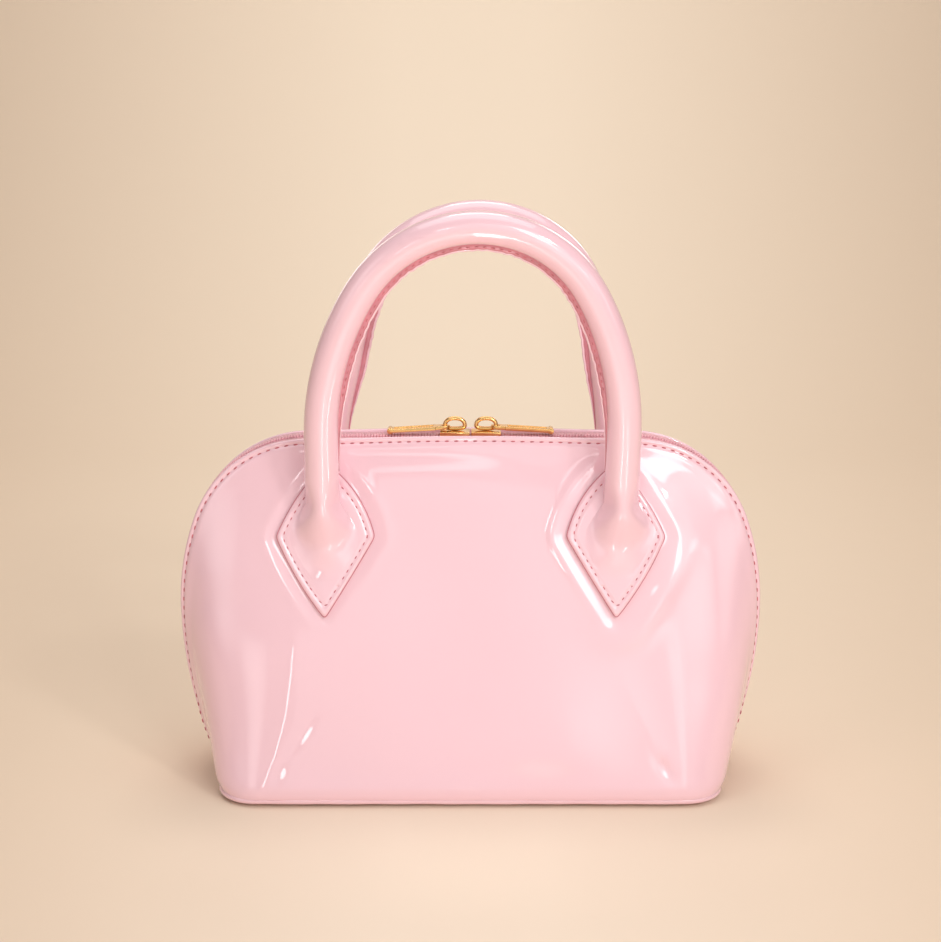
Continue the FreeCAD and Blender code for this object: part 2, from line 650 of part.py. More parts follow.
def tab_outline(body):
    """A diamond with bowed edges, its side corners on the X axis."""
    sketch = sketch_in(body, "outline", "XY_Plane")
    half, bow = size.tab_width / 2, size.tab_bow
    corners = [
        Vector(half, 0, 0),
        Vector(0, size.tab_upper_length, 0),
        Vector(-half, 0, 0),
        Vector(0, -size.tab_lower_length, 0),
    ]
    for n in range(4):
        a, b = corners[n], corners[(n + 1) % 4]
        middle = (a + b) * 0.5
        away = Vector(middle.x / half, middle.y / size.tab_upper_length, 0).normalize()
        chord = (b - a).normalize()
        normal = Vector(chord.y, -chord.x, 0)
        sketch.addGeometry(Part.Arc(a, middle + normal * bow * (1 if normal.dot(away) > 0 else -1), b))
    for n in range(4):
        sketch.addConstraint(Sketcher.Constraint("Coincident", n, 2, (n + 1) % 4, 1))
    places = (
        ("Sizes.tab_width / 2", "0"),
        ("0", "Sizes.tab_upper_length"),
        ("-Sizes.tab_width / 2", "0"),
        ("0", "-Sizes.tab_lower_length"),
    )
    for n, (x, y) in enumerate(places):
        dimension(sketch, f"corner_{n}_x", x, "DistanceX", -1, 1, n, 1)
        dimension(sketch, f"corner_{n}_y", y, "DistanceY", -1, 1, n, 1)
    for n in range(4):
        rise = "tab_upper_length" if n < 2 else "tab_lower_length"
        chord = f"((Sizes.tab_width / 2) ^ 2 + Sizes.{rise} ^ 2)"
        radius = f"({chord} / 4 + Sizes.tab_bow ^ 2) / (2 * Sizes.tab_bow)"
        dimension(sketch, f"bow_{n}", radius, "Radius", n)
    return sketch


def tabs():
    """The four tabs: a diamond with a swelling, hollowed for the round root of the handle."""
    body = doc.addObject("PartDesign::Body", "tab_plate")
    outline = tab_outline(body)
    bind(outline, AttachmentOffset__Base__z="Sizes.layer_gap")
    doc.recompute()
    pad = body.newObject("PartDesign::Pad", "tab_pad")
    pad.Profile = outline
    bind(pad, Length="Sizes.tab_thickness")
    hood = doc.addObject("Part::Cone", "tab_hood")
    hood_slope = math.degrees(math.atan2(size.hood_drop, size.hood_length))
    hood.Placement.Rotation = Rotation(X_AXIS, 90 + hood_slope)
    bind(
        hood,
        Radius1="Sizes.hood_top_radius",
        Radius2="Sizes.hood_tip_radius",
        Height="Sizes.hood_length",
        Placement__Base__y="Sizes.root_rise",
        Placement__Base__z="Sizes.hood_rise",
    )
    under = box(
        "tab_underside",
        ("-Sizes.tab_width", "Sizes.tab_width"),
        ("-2 * Sizes.tab_lower_length", "2 * Sizes.tab_upper_length"),
        ("-4 * Sizes.hood_top_radius", "Sizes.layer_gap"),
    )
    ball = doc.addObject("Part::Sphere", "tab_seat")
    bind(ball, Radius=ROOT_BORE, Placement__Base__y="Sizes.root_rise", Placement__Base__z=ROOT_LIFT)
    notch = cylinder("tab_notch", ROOT_BORE, "2 * Sizes.tab_upper_length", y="Sizes.root_rise", z=ROOT_LIFT)
    notch.Placement.Rotation = Rotation(X_AXIS, -90)
    front_right = cut("front_right_tab", fused("tab_blank", body, hood), under, ball, notch)
    front_right.Placement = tab_frame
    keep(front_right, "front_right_tab")
    front_left = mirrored(front_right, "front_left_tab", X_AXIS)
    mirrored(front_right, "back_right_tab", Y_AXIS)
    mirrored(front_left, "back_left_tab", Y_AXIS)


def backings():
    """The four patches glued behind the stiffeners under the tabs."""
    front_right = box(
        "front_right_backing",
        ("-Sizes.backing_width / 2", "Sizes.backing_width / 2"),
        ("-Sizes.backing_length / 2", "Sizes.backing_length / 2"),
        ("-Sizes.backing_thickness", "0"),
    )
    patch = doc.addObject("Part::Compound", "front_right_tab_backing")
    patch.Links = [front_right]
    patch.Placement = front_frame(backing_depth, size.rim_inset, leg_x, size.tab_height - size.backing_drop)
    keep(patch, "front_right_tab_backing")
    front_left = mirrored(patch, "front_left_tab_backing", X_AXIS)
    mirrored(patch, "back_right_tab_backing", Y_AXIS)
    mirrored(front_left, "back_left_tab_backing", Y_AXIS)


tabs()
backings()


# Rolled handles

handle_place = Placement(Vector(0, handle_root.y, handle_root.z), Rotation(X_AXIS, 90 + size.handle_lean))
leg_turn = 90 - size.handle_top_angle
leg_centre_x = leg_x - size.handle_leg_radius
top_radius = size.handle_leg_radius + leg_centre_x / math.cos(math.radians(leg_turn))
top_centre_y = size.handle_leg_length - leg_centre_x * math.tan(math.radians(leg_turn))

SHOULDER_DROP = "(Sizes.dome_height - Sizes.shoulder_radius)"
SHOULDER_GAP = "(Sizes.side_radius - Sizes.shoulder_radius)"
CROWN_HALF = f"(Sizes.body_width / 2 - Sizes.side_radius + sqrt({SHOULDER_GAP} ^ 2 - {SHOULDER_DROP} ^ 2))"
FLAT_FOOT = f"({BASE_LENGTH} / 2 - Sizes.base_corner_radius)"
TAB_SHARE = f"((Sizes.tab_height - {PANEL_FOOT}) / ({CROWN_HEIGHT} - {PANEL_FOOT}))"
LEG_X = f"({FLAT_FOOT} + {TAB_SHARE} * ({CROWN_HALF} - {FLAT_FOOT}) - Sizes.handle_margin)"
LEG_TURN = "((90 - Sizes.handle_top_angle) * 1 deg)"
LEG_CENTRE_X = f"({LEG_X} - Sizes.handle_leg_radius)"
TOP_RADIUS = f"(Sizes.handle_leg_radius + {LEG_CENTRE_X} / cos({LEG_TURN}))"
TOP_CENTRE_Y = f"(Sizes.handle_leg_length - {LEG_CENTRE_X} * tan({LEG_TURN}))"


def handle_run(name, root_radius, radius):
    """A round bar along a handle in its own plane: two straight legs, two leg bends and the top bend.

    The legs taper from root_radius at the tabs to radius, which the bends keep.
    """
    run = []
    for side, sign in (("right", ""), ("left", "-")):
        leg = doc.addObject("Part::Cone", f"{name}_{side}_leg")
        leg.Placement.Rotation = Rotation(X_AXIS, -90)
        bind(leg, Radius1=root_radius, Radius2=radius, Height="Sizes.handle_leg_length")
        bind(leg, Placement__Base__x=f"{sign}{LEG_X}")
        run.append(leg)
    length, bend = "Sizes.handle_leg_length", "Sizes.handle_leg_radius"
    bends = (
        ("right", 0, LEG_TURN, bend, LEG_CENTRE_X, length),
        ("top", leg_turn, "2 * Sizes.handle_top_angle * 1 deg", TOP_RADIUS, "0", TOP_CENTRE_Y),
        ("left", 180 - leg_turn, LEG_TURN, bend, f"-{LEG_CENTRE_X}", length),
    )
    for side, start, sweep, centre_radius, x, y in bends:
        turn = doc.addObject("Part::Torus", f"{name}_{side}_bend")
        turn.Placement.Rotation = Rotation(Z_AXIS, start)
        bind(turn, Radius1=centre_radius, Radius2=radius, Angle3=sweep)
        bind(turn, Placement__Base__x=x, Placement__Base__y=y)
        run.append(turn)
    return run


def seam_fin():
    """The sewn fin along the inner side of the three bends, turned a little to the front."""
    turn = math.radians(size.seam_fin_turn)
    inward = Vector(-math.cos(turn), 0, -math.sin(turn))
    beside = Vector(inward.z, 0, -inward.x) * (size.seam_fin_thickness / 2)
    start = Vector(leg_x, size.handle_leg_length, 0)
    near = start + inward * (size.core_radius + 3 * size.core_fit)
    far = start + inward * (size.wrap_crown_radius + size.seam_fin_height)
    corners = [near - beside, far - beside, far + beside, near + beside]
    section = Part.Face(Part.makePolygon([*corners, corners[0]]))
    spans = []
    for x, y, sweep in (
        (leg_centre_x, size.handle_leg_length, leg_turn),
        (0, top_centre_y, 2 * size.handle_top_angle),
        (-leg_centre_x, size.handle_leg_length, leg_turn),
    ):
        spans.append(section.revolve(Vector(x, y, 0), Z_AXIS, sweep))
        section = section.copy()
        section.rotate(Vector(x, y, 0), Z_AXIS, sweep)
    fin = doc.addObject("Part::Feature", "handle_seam_fin")
    fin.Shape = spans[0].fuse(spans[1:])
    return fin


def core():
    """The cord inside each handle."""
    cord = fused("front_handle_core", *handle_run("cord", "Sizes.core_radius", "Sizes.core_radius"))
    cord.Placement = handle_place
    keep(cord, "front_handle_core")
    mirrored(cord, "back_handle_core", Y_AXIS)


def wrap():
    """The tapered leather tube of each handle, with round roots and a sewn fin along its inner side."""
    tube = handle_run("tube", "Sizes.wrap_root_radius", "Sizes.wrap_crown_radius")
    for side, sign in (("right", ""), ("left", "-")):
        root = doc.addObject("Part::Sphere", f"{side}_root")
        bind(root, Radius="Sizes.wrap_root_radius", Placement__Base__x=f"{sign}{LEG_X}")
        tube.append(root)
    inside = "(Sizes.core_radius + Sizes.core_fit)"
    hollow = handle_run("hollow", inside, inside)
    leather = cut("front_handle_wrap", fused("handle_tube", *tube, seam_fin()), *hollow)
    leather.Placement = handle_place
    keep(leather, "front_handle_wrap")
    mirrored(leather, "back_handle_wrap", Y_AXIS)


core()
wrap()


# Export

doc.recompute()
os.makedirs("parts", exist_ok=True)
for obj in pieces:
    bad = {"Invalid", "Error"}.intersection(obj.State)
    if bad or obj.Shape.isNull() or not obj.Shape.isValid():
        raise RuntimeError(f"{obj.Label} did not build")
for obj in pieces:
    obj.Shape.exportStep(f"parts/{obj.Label}.step")
print(f"{len(pieces)} pieces, handle roots at {handle_root}")
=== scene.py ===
import json
import math

import bmesh
import bpy
import numpy as np
from bpy.props import FloatProperty, FloatVectorProperty, PointerProperty
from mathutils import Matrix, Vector
from mathutils.bvhtree import BVHTree


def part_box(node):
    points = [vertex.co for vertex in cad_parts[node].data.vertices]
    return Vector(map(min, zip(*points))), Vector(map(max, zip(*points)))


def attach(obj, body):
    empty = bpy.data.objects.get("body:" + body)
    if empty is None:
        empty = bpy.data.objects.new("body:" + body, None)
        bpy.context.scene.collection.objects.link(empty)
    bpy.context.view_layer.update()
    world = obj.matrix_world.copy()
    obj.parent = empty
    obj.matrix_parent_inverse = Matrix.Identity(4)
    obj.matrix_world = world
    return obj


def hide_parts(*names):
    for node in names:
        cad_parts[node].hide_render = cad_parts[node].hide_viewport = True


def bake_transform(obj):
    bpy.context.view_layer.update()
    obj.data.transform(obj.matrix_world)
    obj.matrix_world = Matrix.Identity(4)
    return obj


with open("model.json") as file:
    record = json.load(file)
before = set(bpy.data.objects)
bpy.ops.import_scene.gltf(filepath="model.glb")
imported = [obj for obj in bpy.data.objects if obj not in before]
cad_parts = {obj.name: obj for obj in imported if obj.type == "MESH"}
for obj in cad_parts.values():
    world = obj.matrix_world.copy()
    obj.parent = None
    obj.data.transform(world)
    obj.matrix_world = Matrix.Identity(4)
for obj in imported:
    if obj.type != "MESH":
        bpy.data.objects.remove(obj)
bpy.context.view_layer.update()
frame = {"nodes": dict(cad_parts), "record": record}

bl_info = {
    "name": "Top handle bag",
    "version": (1, 0, 0),
    "blender": (4, 5, 0),
    "location": "View3D > Sidebar > Bag",
    "description": "Dresses a dome-shaped top handle bag in patent leather",
    "category": "Object",
}

MM = 0.001
FRONT, BACK = -1, 1


# Sizes and colours


def distance(name, millimetres, note):
    """A length in the user's units, written here in millimetres."""
    return FloatProperty(
        name=name, description=note, default=millimetres * MM, subtype="DISTANCE", unit="LENGTH"
    )


def angle(name, degrees, note):
    """An angle, written here in degrees."""
    return FloatProperty(
        name=name, description=note, default=math.radians(degrees), subtype="ANGLE", unit="ROTATION"
    )


def colour(name, rgb, note):
    """A colour in linear light."""
    return FloatVectorProperty(
        name=name, description=note, default=rgb, size=3, subtype="COLOR", min=0, max=1
    )


PANEL_LOW, PANEL_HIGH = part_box("front_panel")


class BagBody(bpy.types.PropertyGroup):
    """Sizes of the leather body."""

    width: distance("Width", (PANEL_HIGH.x - PANEL_LOW.x) / MM, "Widest width of the dome")
    crown_height: distance("Crown height", PANEL_HIGH.z / MM, "Floor to the straight crown")
    widest_height: distance("Widest height", 67.8, "Floor to the widest level")
    shoulder_radius: distance("Shoulder radius", 45.5, "Dome outline beside the crown")
    side_radius: distance("Side radius", 95.0, "Dome outline from the shoulder to the widest level")
    seam_radius: distance("Seam radius", 159.6, "Dome outline below the widest level")
    base_length: distance("Base length", 189.4, "Length of the base outline")
    base_depth: distance("Base depth", 88.0, "Depth of the base outline")
    base_corner: distance("Base corner", 17.0, "Corner radius of the base outline")
    band_width: distance("Band width", 18.0, "Between the outer faces of the panel edges")
    foot_height: distance("Panel foot", PANEL_LOW.z / MM - 0.8, "Lower edge of the panels above the floor")
    leather: distance("Leather", 1.6, "Thickness of the panels")
    crown_bow: distance("Crown bow", 1.1, "Rise of the panel edge in the middle of the crown")
    bulge: distance("Bulge", 1.6, "How far the panels swell between their seams")
    ripple: distance("Ripple", 0.16, "Waves left in the stretched patent leather")
    seam_inset: distance("Seam inset", 2.1, "Stitch line inside the panel edge")
    seam_groove: distance("Seam groove", 0.36, "Depth that the stitching is pulled in")
    foot_roll: distance("Foot roll", 1.0, "How far the lower edge of the panels turns in over the piping")


class BagHandle(bpy.types.PropertyGroup):
    """Sizes of the rolled handles and their tabs."""

    spacing: distance("Leg spacing", 108.3, "Between the two legs at the tabs")
    leg_length: distance("Leg length", 26.0, "Straight part of each leg")
    leg_radius: distance("Leg bend", 103.0, "Bend between the leg and the top")
    top_angle: angle("Top angle", 60.0, "Half of the top bend")
    lean: angle("Lean", 8.0, "Tilt of the handle away from upright")
    root_radius: distance("Root radius", 6.25, "Tube at the tabs")
    crown_radius: distance("Crown radius", 5.75, "Tube at the top")
    root_depth: distance("Root depth", 22.466, "Root in front of the middle of the bag")
    root_height: distance("Root height", 109.603, "Root above the floor")
    drift: distance("Drift", 1.9, "Sideways set of the top of the handle")
    shift: distance("Shift", 0.5, "Sideways set of the whole handle")
    tab_spacing: distance("Tab spacing", 105.9, "Between the middles of the two tabs")
    tab_height: distance("Tab height", 95.7, "Side corners of the tabs above the floor")
    tab_width: distance("Tab width", 36.0, "Across the side corners")
    tab_drop: distance("Tab drop", 29.7, "Side corners down to the tip")
    tab_rise: distance("Tab rise", 27.0, "Side corners up to the top corner")
    tab_thickness: distance("Tab thickness", 1.6, "Tab leather")
    root_rise: distance("Root rise", 12.4, "Root above the side corners, along the panel")
    root_lift: distance("Root lift", 7.35, "Root in front of the panel")


class BagSewing(bpy.types.PropertyGroup):
    """Sizes of the stitching and the zip."""

    panel_pitch: distance("Panel pitch", 3.45, "Stitch pitch along the panel edges")
    panel_stitch: distance("Panel stitch", 1.75, "Visible thread of each stitch on the panels")
    tab_pitch: distance("Tab pitch", 2.85, "Stitch pitch on the tabs")
    tab_stitch: distance("Tab stitch", 1.45, "Visible thread of each stitch on the tabs")
    thread: distance("Thread", 0.5, "Thickness of the thread")
    tooth_pitch: distance("Coil pitch", 1.1, "Pitch of the zip coil")
    tooth_reach: distance("Coil reach", 3.2, "Length of each loop of the coil across the zip")
    tape_depth: distance("Tape depth", 1.1, "Middle of the zip tape below the dome outline")


class BagColours(bpy.types.PropertyGroup):
    """Colours of the bag and of the studio."""

    leather: colour("Leather", (0.95, 0.628, 0.702), "Patent leather")
    thread: colour("Thread", (0.58, 0.15, 0.185), "Stitching")
    # Edge paint: its dark rose is partly the sealed edges' own colour and partly painted shade for the handle
    # seam's groove and along the tabs' edges
    edge: colour("Edge paint", (0.64, 0.22, 0.27), "Sealed edges of the handle seam")
    tape: colour("Zip tape", (0.80, 0.40, 0.45), "Woven zip tape")
    coil: colour("Zip coil", (0.84, 0.44, 0.50), "Zip coil")
    gold: colour("Gold", (0.86, 0.54, 0.22), "Sliders and pulls")
    lining: colour("Lining", (0.70, 0.42, 0.45), "Cloth lining")
    board: colour("Board", (0.55, 0.48, 0.40), "Stiff boards")
    cord: colour("Cord", (0.74, 0.70, 0.62), "Cord inside the handles")
    studio: colour("Studio", (0.96, 0.815, 0.655), "Floor and backdrop")


def sizes(group):
    """The lengths of a property group in millimetres, and its angles in radians."""
    values = {}
    for name, prop in group.bl_rna.properties.items():
        if prop.type == "FLOAT":
            values[name] = getattr(group, name) / (MM if prop.subtype == "DISTANCE" else 1)
    return type("Sizes", (), values)


def body_sizes():
    return sizes(bpy.context.scene.bag_body)


def handle_sizes():
    return sizes(bpy.context.scene.bag_handle)


def sewing_sizes():
    return sizes(bpy.context.scene.bag_sewing)


def colours():
    return bpy.context.scene.bag_colours


# Materials


class Shader:
    """A node material under construction, read from the object's own coordinates."""

    def __init__(self, name):
        self.material = bpy.data.materials.new(f"{name}_finish")
        self.material.use_nodes = True
        self.tree = self.material.node_tree
        self.tree.nodes.clear()
        self.output = self.add("ShaderNodeOutputMaterial")
        self.surface = self.add("ShaderNodeBsdfPrincipled")
        self.tree.links.new(self.surface.outputs[0], self.output.inputs[0])
        self.place = self.add("ShaderNodeTexCoord").outputs["Object"]

    def add(self, kind, **settings):
        node = self.tree.nodes.new(kind)
        for name, value in settings.items():
            setattr(node, name, value)
        return node

    def link(self, source, target):
        self.tree.links.new(source, target)

    def set(self, **values):
        for name, value in values.items():
            self.surface.inputs[name.replace("_", " ")].default_value = value

    def noise(self, scale, detail=2.0, stretch=None):
        node = self.add("ShaderNodeTexNoise")
        node.inputs["Scale"].default_value = scale
        node.inputs["Detail"].default_value = detail
        source = self.place
        if stretch:
            mapping = self.add("ShaderNodeMapping")
            mapping.inputs["Scale"].default_value = stretch
            self.link(self.place, mapping.inputs["Vector"])
            source = mapping.outputs[0]
        self.link(source, node.inputs["Vector"])
        return node.outputs["Fac"]

    def waves(self, scale, direction):
        node = self.add("ShaderNodeTexWave", bands_direction=direction)
        node.inputs["Scale"].default_value = scale
        node.inputs["Distortion"].default_value = 0.4
        self.link(self.place, node.inputs["Vector"])
        return node.outputs["Fac"]

    def ramp(self, source, *stops):
        node = self.add("ShaderNodeValToRGB")
        for n, (position, value) in enumerate(stops):
            stop = node.color_ramp.elements[n] if n < 2 else node.color_ramp.elements.new(position)
            stop.position = position
            stop.color = (*value, 1) if hasattr(value, "__len__") else (value, value, value, 1)
        self.link(source, node.inputs["Fac"])
        return node.outputs["Color"]

    def tint(self, source, rgb, dark, light):
        shades = [tuple(min(1, c * k) for c in rgb) for k in (dark, light)]
        self.link(self.ramp(source, (0.3, shades[0]), (0.7, shades[1])), self.surface.inputs["Base Color"])

    def rough(self, source, low, high):
        self.link(self.ramp(source, (0.3, low), (0.7, high)), self.surface.inputs["Roughness"])

    def bump(self, *layers):
        normal = None
        for source, strength, height in layers:
            node = self.add("ShaderNodeBump")
            node.inputs["Strength"].default_value = strength
            node.inputs["Distance"].default_value = height * MM
            self.link(source, node.inputs["Height"])
            if normal:
                self.link(normal, node.inputs["Normal"])
            normal = node.outputs[0]
        self.link(normal, self.surface.inputs["Normal"])


# Each finish: its colour; tone and gloss as (noise scale, detail, low, high); layers of bump as (pattern, its
# settings, strength, height in millimetres); and settings of the surface.
FINISHES = {
    # Glossy coated leather with a faint mottled tone, orange peel and pores under the coat
    "patent_leather": dict(
        colour="leather",
        tone=(14, 1, 0.985, 1.01),
        gloss=(25, 1, 0.30, 0.33),
        bumps=(("noise", (30, 1), 0.03, 0.5), ("noise", (1500, 2), 0.03, 0.08)),
        surface=dict(IOR=1.5, Coat_Weight=1.0, Coat_Roughness=0.04, Coat_IOR=1.6),
    ),
    # Twisted sewing thread
    "thread": dict(
        colour="thread",
        tone=(900, 2, 0.75, 1.2),
        gloss=(1200, 1, 0.5, 0.75),
        bumps=(("waves", (900, "DIAGONAL"), 0.5, 0.08),),
        surface=dict(IOR=1.45, Sheen_Weight=0.25),
    ),
    # Sealed cut edges, painted darker than the leather; the dark rose is partly the paint's own colour and
    # partly painted shade for the handle seam's groove and the tabs' edges
    "edge_paint": dict(
        colour="edge",
        tone=(180, 3, 0.88, 1.1),
        gloss=(400, 2, 0.35, 0.5),
        bumps=(("noise", (600, 2), 0.2, 0.1),),
        surface=dict(Coat_Weight=0.6, Coat_Roughness=0.12),
    ),
    # Woven tape with a fine herringbone
    "zip_tape": dict(
        colour="tape",
        tone=(700, 3, 0.82, 1.12),
        gloss=(300, 1, 0.7, 0.9),
        bumps=(("waves", (700, "DIAGONAL"), 0.5, 0.12), ("waves", (520, "X"), 0.4, 0.1)),
        surface=dict(Sheen_Weight=0.3),
    ),
    # Satin nylon coil
    "zip_coil": dict(
        colour="coil",
        tone=(500, 2, 0.88, 1.08),
        gloss=(600, 2, 0.28, 0.42),
        bumps=(("noise", (2600, 1), 0.1, 0.05),),
    ),
    # Polished gold plating with hairline scratches
    "gold_metal": dict(
        colour="gold",
        tone=(320, 3, 0.95, 1.05),
        gloss=(900, 3, 0.09, 0.17, (1, 9, 9)),
        bumps=(("noise", (2400, 2, (1, 12, 12)), 0.03, 0.03),),
        surface=dict(Metallic=1.0),
    ),
    # Plain woven lining
    "lining_cloth": dict(
        colour="lining",
        tone=(500, 3, 0.85, 1.1),
        gloss=(300, 1, 0.75, 0.95),
        bumps=(("waves", (900, "X"), 0.4, 0.1), ("waves", (900, "Z"), 0.4, 0.1)),
    ),
    # Pressed board with loose fibres
    "board": dict(
        colour="board",
        tone=(400, 4, 0.8, 1.12),
        gloss=(200, 2, 0.8, 0.95),
        bumps=(("noise", (800, 3), 0.4, 0.15),),
    ),
    # Felted patch
    "reinforcement": dict(
        colour="cord",
        tone=(700, 4, 0.8, 1.12),
        gloss=(350, 2, 0.8, 0.95),
        bumps=(("noise", (1400, 3), 0.4, 0.15),),
    ),
    # Cord of laid strands
    "handle_cord": dict(
        colour="cord",
        tone=(700, 3, 0.8, 1.1),
        gloss=(300, 1, 0.75, 0.95),
        bumps=(("waves", (260, "DIAGONAL"), 0.8, 0.4),),
    ),
}


def make_finish(name, colour, tone, gloss, bumps, surface=()):
    """A material from one entry of the finishes."""
    shader = Shader(name)
    shader.set(**dict(surface))
    scale, detail, dark, light = tone
    shader.tint(shader.noise(scale, detail), tuple(getattr(colours(), colour)), dark, light)
    scale, detail, low, high, *stretch = gloss
    shader.rough(shader.noise(scale, detail, *stretch), low, high)
    shader.bump(*((getattr(shader, kind)(*options), force, depth) for kind, options, force, depth in bumps))
    return shader.material


MADE = {}


def finish_named(name):
    """The finish of that name, made on first use."""
    if name not in MADE:
        MADE[name] = make_finish(name, **FINISHES[name])
    return MADE[name]


# Meshes


def show(thing):
    """Put an object into the scene."""
    bpy.context.scene.collection.objects.link(thing)
    return thing


def add_piece(name, points, faces, material, merge=1e-7):
    """A smooth mesh piece from points in millimetres, with its faces turned outwards."""
    mesh = bpy.data.meshes.new(name)
    mesh.from_pydata((np.asarray(points, float) * MM).tolist(), [], faces)
    work = bmesh.new()
    work.from_mesh(mesh)
    bmesh.ops.remove_doubles(work, verts=work.verts, dist=merge)
    bmesh.ops.dissolve_degenerate(work, edges=work.edges, dist=merge)
    bmesh.ops.recalc_face_normals(work, faces=work.faces)
    work.to_mesh(mesh)
    work.free()
    mesh.shade_smooth()
    mesh.materials.append(finish_named(material))
    return show(bpy.data.objects.new(name, mesh))


def grid_faces(rows, columns, close_rows=False, close_columns=False):
    """Quads of a grid whose points are listed row by row."""
    faces = []
    for r in range(rows if close_rows else rows - 1):
        for c in range(columns if close_columns else columns - 1):
            up, right = (r + 1) % rows, (c + 1) % columns
            faces.append((r * columns + c, r * columns + right, up * columns + right, up * columns + c))
    return faces


def tube_faces(stations, around):
    """Quads of a closed tube with a cap at each end."""
    faces = grid_faces(stations, around, close_columns=True)
    faces.append(tuple(range(around)))
    faces.append(tuple(range((stations - 1) * around, stations * around)))
    return faces


def unit(vectors):
    """Vectors of length one along the last axis."""
    size = np.linalg.norm(vectors, axis=-1, keepdims=True)
    return vectors / np.maximum(size, 1e-9)


def ease(x):
    """Smooth step from 0 to 1."""
    x = np.clip(x, 0, 1)
    return x * x * (3 - 2 * x)


def hump(x, middle, width):
    """A bell of height one."""
    return np.exp(-(((x - middle) / width) ** 2))


def soften(values, spread):
    """Gaussian smoothing along the first axis; the ends are continued in a straight line."""
    reach = int(3 * spread) + 1
    weights = np.exp(-0.5 * (np.arange(-reach, reach + 1) / spread) ** 2)
    weights /= weights.sum()
    low = 2 * values[0] - values[reach:0:-1]
    high = 2 * values[-1] - values[-2 : -reach - 2 : -1]
    padded = np.concatenate([low, values, high])
    return sum(w * padded[n : n + len(values)] for n, w in enumerate(weights))


def monotone(knots, values, x):
    """Cubic through the knots that never turns back."""
    knots, values = np.asarray(knots, float), np.asarray(values, float)
    step = np.diff(knots)
    slope = np.diff(values) / step
    rate = np.empty(len(knots))
    rate[0], rate[-1] = slope[0], slope[-1]
    rate[1:-1] = 2 * slope[:-1] * slope[1:] / (slope[:-1] + slope[1:])
    n = np.clip(np.searchsorted(knots, x) - 1, 0, len(step) - 1)
    t = (x - knots[n]) / step[n]
    return (
        values[n] * (1 + 2 * t) * (1 - t) ** 2
        + step[n] * rate[n] * t * (1 - t) ** 2
        + values[n + 1] * t * t * (3 - 2 * t)
        + step[n] * rate[n + 1] * t * t * (t - 1)
    )


def along(points):
    """Distance along a line of points."""
    return np.concatenate([[0], np.cumsum(np.linalg.norm(np.diff(points, axis=0), axis=1))])


def at_distance(points, where):
    """Points of a line at given distances along it."""
    travelled = along(points)
    return np.stack([np.interp(where, travelled, points[:, n]) for n in range(points.shape[1])], axis=1)


def full_turn(count):
    """Angles spread over a full turn."""
    return np.linspace(0, 2 * math.pi, count, endpoint=False)


def circle(turn, first, second):
    """Directions round a circle that is spanned by two axes."""
    return np.cos(turn)[:, None] * first + np.sin(turn)[:, None] * second


def closed(loop):
    """A loop of points with its first point once more at the end."""
    return np.concatenate([loop, loop[:1]])


def loop_heading(loop):
    """Directions along a loop of points."""
    return unit(np.roll(loop, -1, axis=0) - np.roll(loop, 1, axis=0))


def flip_for(side):
    """Factors that turn points of the front to the given side of the bag."""
    return np.array((1, 1 if side == FRONT else -1, 1))


def bend(x, y, radius, start, end, count=160):
    """Points of an arc, angles in degrees."""
    turn = np.radians(np.linspace(start, end, count))
    return np.stack([x + radius * np.cos(turn), y + radius * np.sin(turn)], axis=1)


def distance_to(points, line):
    """Least distance of each point to a line of points, in any number of dimensions."""
    start, span = line[:-1], np.diff(line, axis=0)
    flat = points.reshape(-1, points.shape[-1])
    best = np.full(len(flat), 1e9)
    length = np.maximum((span**2).sum(1), 1e-12)
    for first in range(0, len(flat), 2000):
        part = flat[first : first + 2000, None, :] - start[None]
        t = np.clip((part * span).sum(-1) / length, 0, 1)
        best[first : first + 2000] = np.sqrt(((part - t[..., None] * span) ** 2).sum(-1).min(1))
    return best.reshape(points.shape[:-1])


# Outlines


def dome_half():
    """Right half of the dome outline as (x, z), from the crown to the foot, and its joint distances."""
    s = body_sizes()
    drop = s.crown_height - s.shoulder_radius - s.widest_height
    joint = math.degrees(math.asin(drop / (s.side_radius - s.shoulder_radius)))
    crown = s.width / 2 - s.side_radius + math.sqrt((s.side_radius - s.shoulder_radius) ** 2 - drop**2)
    foot = math.degrees(math.asin((s.widest_height - s.foot_height - 0.5) / s.seam_radius))
    runs = [
        np.stack([np.linspace(0, crown, 160), np.full(160, s.crown_height)], axis=1),
        bend(crown, s.crown_height - s.shoulder_radius, s.shoulder_radius, 90, joint),
        bend(s.width / 2 - s.side_radius, s.widest_height, s.side_radius, joint, 0),
        bend(s.width / 2 - s.seam_radius, s.widest_height, s.seam_radius, 0, -foot),
    ]
    return join_runs(runs)


def base_half():
    """Right half of the base outline as (x, y), y forwards, from the middle of the front to the gusset."""
    s = body_sizes()
    x, y = s.base_length / 2 - s.base_corner, s.base_depth / 2 - s.base_corner
    runs = [
        np.stack([np.linspace(0, x, 160), np.full(160, s.base_depth / 2)], axis=1),
        bend(x, y, s.base_corner, 90, 45),
        bend(x, y, s.base_corner, 45, 0),
        np.stack([np.full(60, s.base_length / 2), np.linspace(y, s.band_width / 2, 60)], axis=1),
    ]
    return join_runs(runs)


def join_runs(runs):
    """One line from tangent runs, with the distances of its joints."""
    lengths = [along(run)[-1] for run in runs]
    line = np.concatenate([runs[0]] + [run[1:] for run in runs[1:]])
    return line, np.concatenate([[0], np.cumsum(lengths)])


def whole_dome():
    """The dome outline from the left foot to the right foot, with outward directions, both as (x, z)."""
    half, _ = dome_half()
    line = np.concatenate([half[::-1] * (-1, 1), half[1:]])
    line = at_distance(line, np.linspace(0, along(line)[-1], 900))
    heading = unit(np.gradient(line, axis=0))
    return line, np.stack([-heading[:, 1], heading[:, 0]], axis=1)


